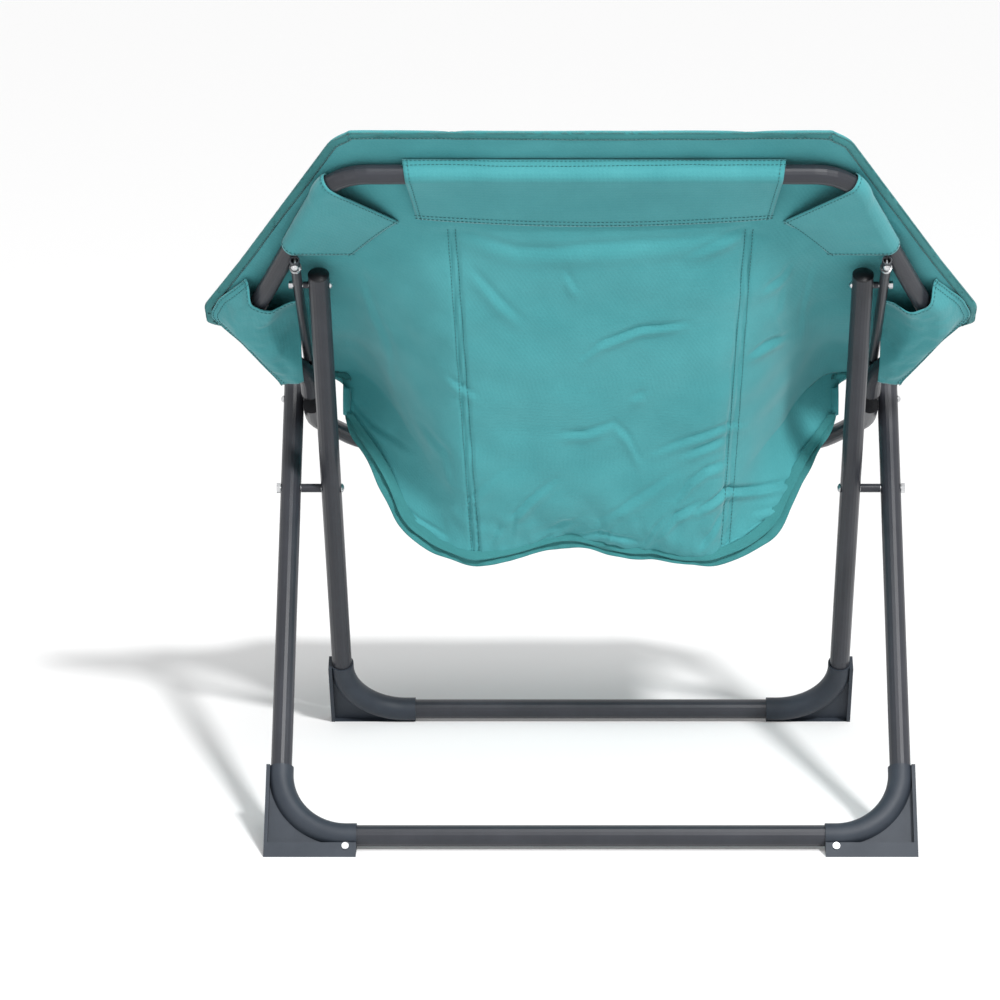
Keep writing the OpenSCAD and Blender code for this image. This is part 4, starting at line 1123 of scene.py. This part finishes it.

# Seam allowance along the bucket's bottom seam: the back's own edge and the longer layer under it
# Both take the binding's darker teal, which on these layers is painted shade
FLANGE_T = 0.0024
FLANGE_ROWS = 14
SEWN_IN = 0.009
SEAM_COUNT = 300
SEAM_SPAN = 1.1
# It is fuller at the bucket's corners and tapers to its ends
CORNER_X = 0.240
CORNER_FULL = 0.7
CORNER_W = 0.04
END_SHARE = 0.05
END_FULL = 0.04
# Frayed width: height of its noise, as a share of the width, and its scale; then the scales of the two waves
# of the cloth, with the share that the finer one has
FRAY = 0.4
FRAY_SCALE = 20.0
WAVE_SCALE = 24.0
FINE_SCALE = 75.0
FINE_SHARE = 0.45
# Layers: distance behind the seam, width and height of the waves in metres, and seed
SEAM_LAYERS = {"seam_edge": (0.0030, 0.0035, 0.004, 31), "seam_fold": (-0.0030, 0.0105, 0.008, 41)}


def seam_line(count):
    """The bottom seam from one side of the bucket to the other, as even points."""
    c = np.linspace(-SEAM_SPAN, SEAM_SPAN, count)
    p = seam_point(np.abs(c), np.maximum(np.abs(c) - 1, 0))
    p[:, 0] *= np.where(c < 0, -1, 1)
    return spread(p + along_yz(seam_wave(p[:, 0]), SEAM_DOWN), count)


def flange(name, behind, width, ruffle, seed):
    line = seam_line(SEAM_COUNT)
    across_seam = np.array([0, *SEAM_SIDE])
    away = np.cross(unit(np.gradient(line, axis=0)), across_seam)
    if away[SEAM_COUNT // 2, 2] > 0:
        away = -away
    k = np.linspace(-SEWN_IN / width, 1, FLANGE_ROWS)
    at = np.linspace(0, 1, SEAM_COUNT)
    wide = width * (1 + FRAY * bumps(line, FRAY_SCALE, seed))
    wide *= np.sqrt(smooth(np.minimum(at, 1 - at) / END_SHARE) + END_FULL)
    wide *= 1 + CORNER_FULL * np.exp(-((np.abs(line[:, 0]) - CORNER_X) / CORNER_W) ** 2)
    wave = ruffle * (bumps(line, WAVE_SCALE, seed + 1) + FINE_SHARE * bumps(line, FINE_SCALE, seed + 2))
    reach = np.where(k < 0, k * width, 0)[:, None] + np.maximum(k, 0)[:, None] * wide[None, :]
    face = line[None] + away[None] * reach[..., None]
    face += across_seam * (behind + wave[None, :] * np.clip(k, 0, 1)[:, None])[..., None]
    face[..., 0] = np.clip(face[..., 0], -CLEAR_X, CLEAR_X)
    half_t = across_seam * FLANGE_T / 2
    # The darker binding teal on these layers is painted shade
    obj = closed_sheet(name, face + half_t, face - half_t, BINDING_AND_SEAM_SHADE)
    across_hinge(obj)


for name, values in SEAM_LAYERS.items():
    flange(name, *values)


# Floor and light

WHITE = (1, 1, 1, 1)
FLOOR_SIZE = 30
FLOOR_COLOR = (0.86, 0.86, 0.86)
FLOOR = {"Roughness": 0.9, "Specular IOR Level": 0.1, "Emission Color": WHITE}
FLOOR_LIFT = 0.12
WORLD_LIGHT = 0.36
SUN_FROM = (-0.5, 0.9, 1.0)
SUN_POWER = 2.7
SUN_SPREAD = math.radians(6)
LAMPS_AIM = Vector((0, 0, 0.5))
LAMP_SIZE = 2.0
# Lamps: place in metres and power in watts
LAMPS = {"top": ((-0.6, 1.3, 3.3), 45), "fill": ((2.6, 3.6, 1.2), 16)}


def camera_only(tree, value):
    """A value that the camera sees, straight or in gloss and glass, and that lights nothing else."""
    path = add(tree, "ShaderNodeLightPath")
    seen = path.outputs["Is Camera Ray"]
    for kind in ("Is Glossy Ray", "Is Transmission Ray"):
        either = add(tree, "ShaderNodeMath", operation="MAXIMUM")
        tree.links.new(seen, either.inputs[0])
        tree.links.new(path.outputs[kind], either.inputs[1])
        seen = either.outputs["Value"]
    return times(tree, seen, value)


def make_floor():
    bpy.ops.mesh.primitive_plane_add(size=FLOOR_SIZE, location=(0, 0, 0))
    floor = bpy.context.object
    floor.name = "floor"
    mat, tree, shader = new_material("floor", FLOOR_COLOR, FLOOR)
    tree.links.new(camera_only(tree, FLOOR_LIFT), shader.inputs["Emission Strength"])
    floor.data.materials.append(mat)


def make_world():
    studio = bpy.data.worlds.new("studio")
    bpy.context.scene.world = studio
    studio.use_nodes = True
    tree = studio.node_tree
    strength = add(tree, "ShaderNodeMath", operation="ADD")
    strength.inputs[1].default_value = WORLD_LIGHT
    tree.links.new(camera_only(tree, 1 - WORLD_LIGHT), strength.inputs[0])
    background = tree.nodes["Background"]
    tree.links.new(strength.outputs["Value"], background.inputs["Strength"])
    background.inputs["Color"].default_value = WHITE


def add_light(name, kind, power, toward):
    """A light that shines along a direction."""
    data = bpy.data.lights.new(name, kind)
    data.energy = power
    obj = bpy.data.objects.new(name, data)
    obj.rotation_euler = toward.to_track_quat("-Z", "Y").to_euler()
    bpy.context.collection.objects.link(obj)
    return obj


make_floor()
make_world()
add_light("key", "SUN", SUN_POWER, -Vector(SUN_FROM)).data.angle = SUN_SPREAD
for name, (at, power) in LAMPS.items():
    lamp = add_light(name, "AREA", power, LAMPS_AIM - Vector(at))
    lamp.location = at
    lamp.data.shape = "DISK"
    lamp.data.size = LAMP_SIZE
bpy.context.scene.view_settings.view_transform = "Standard"
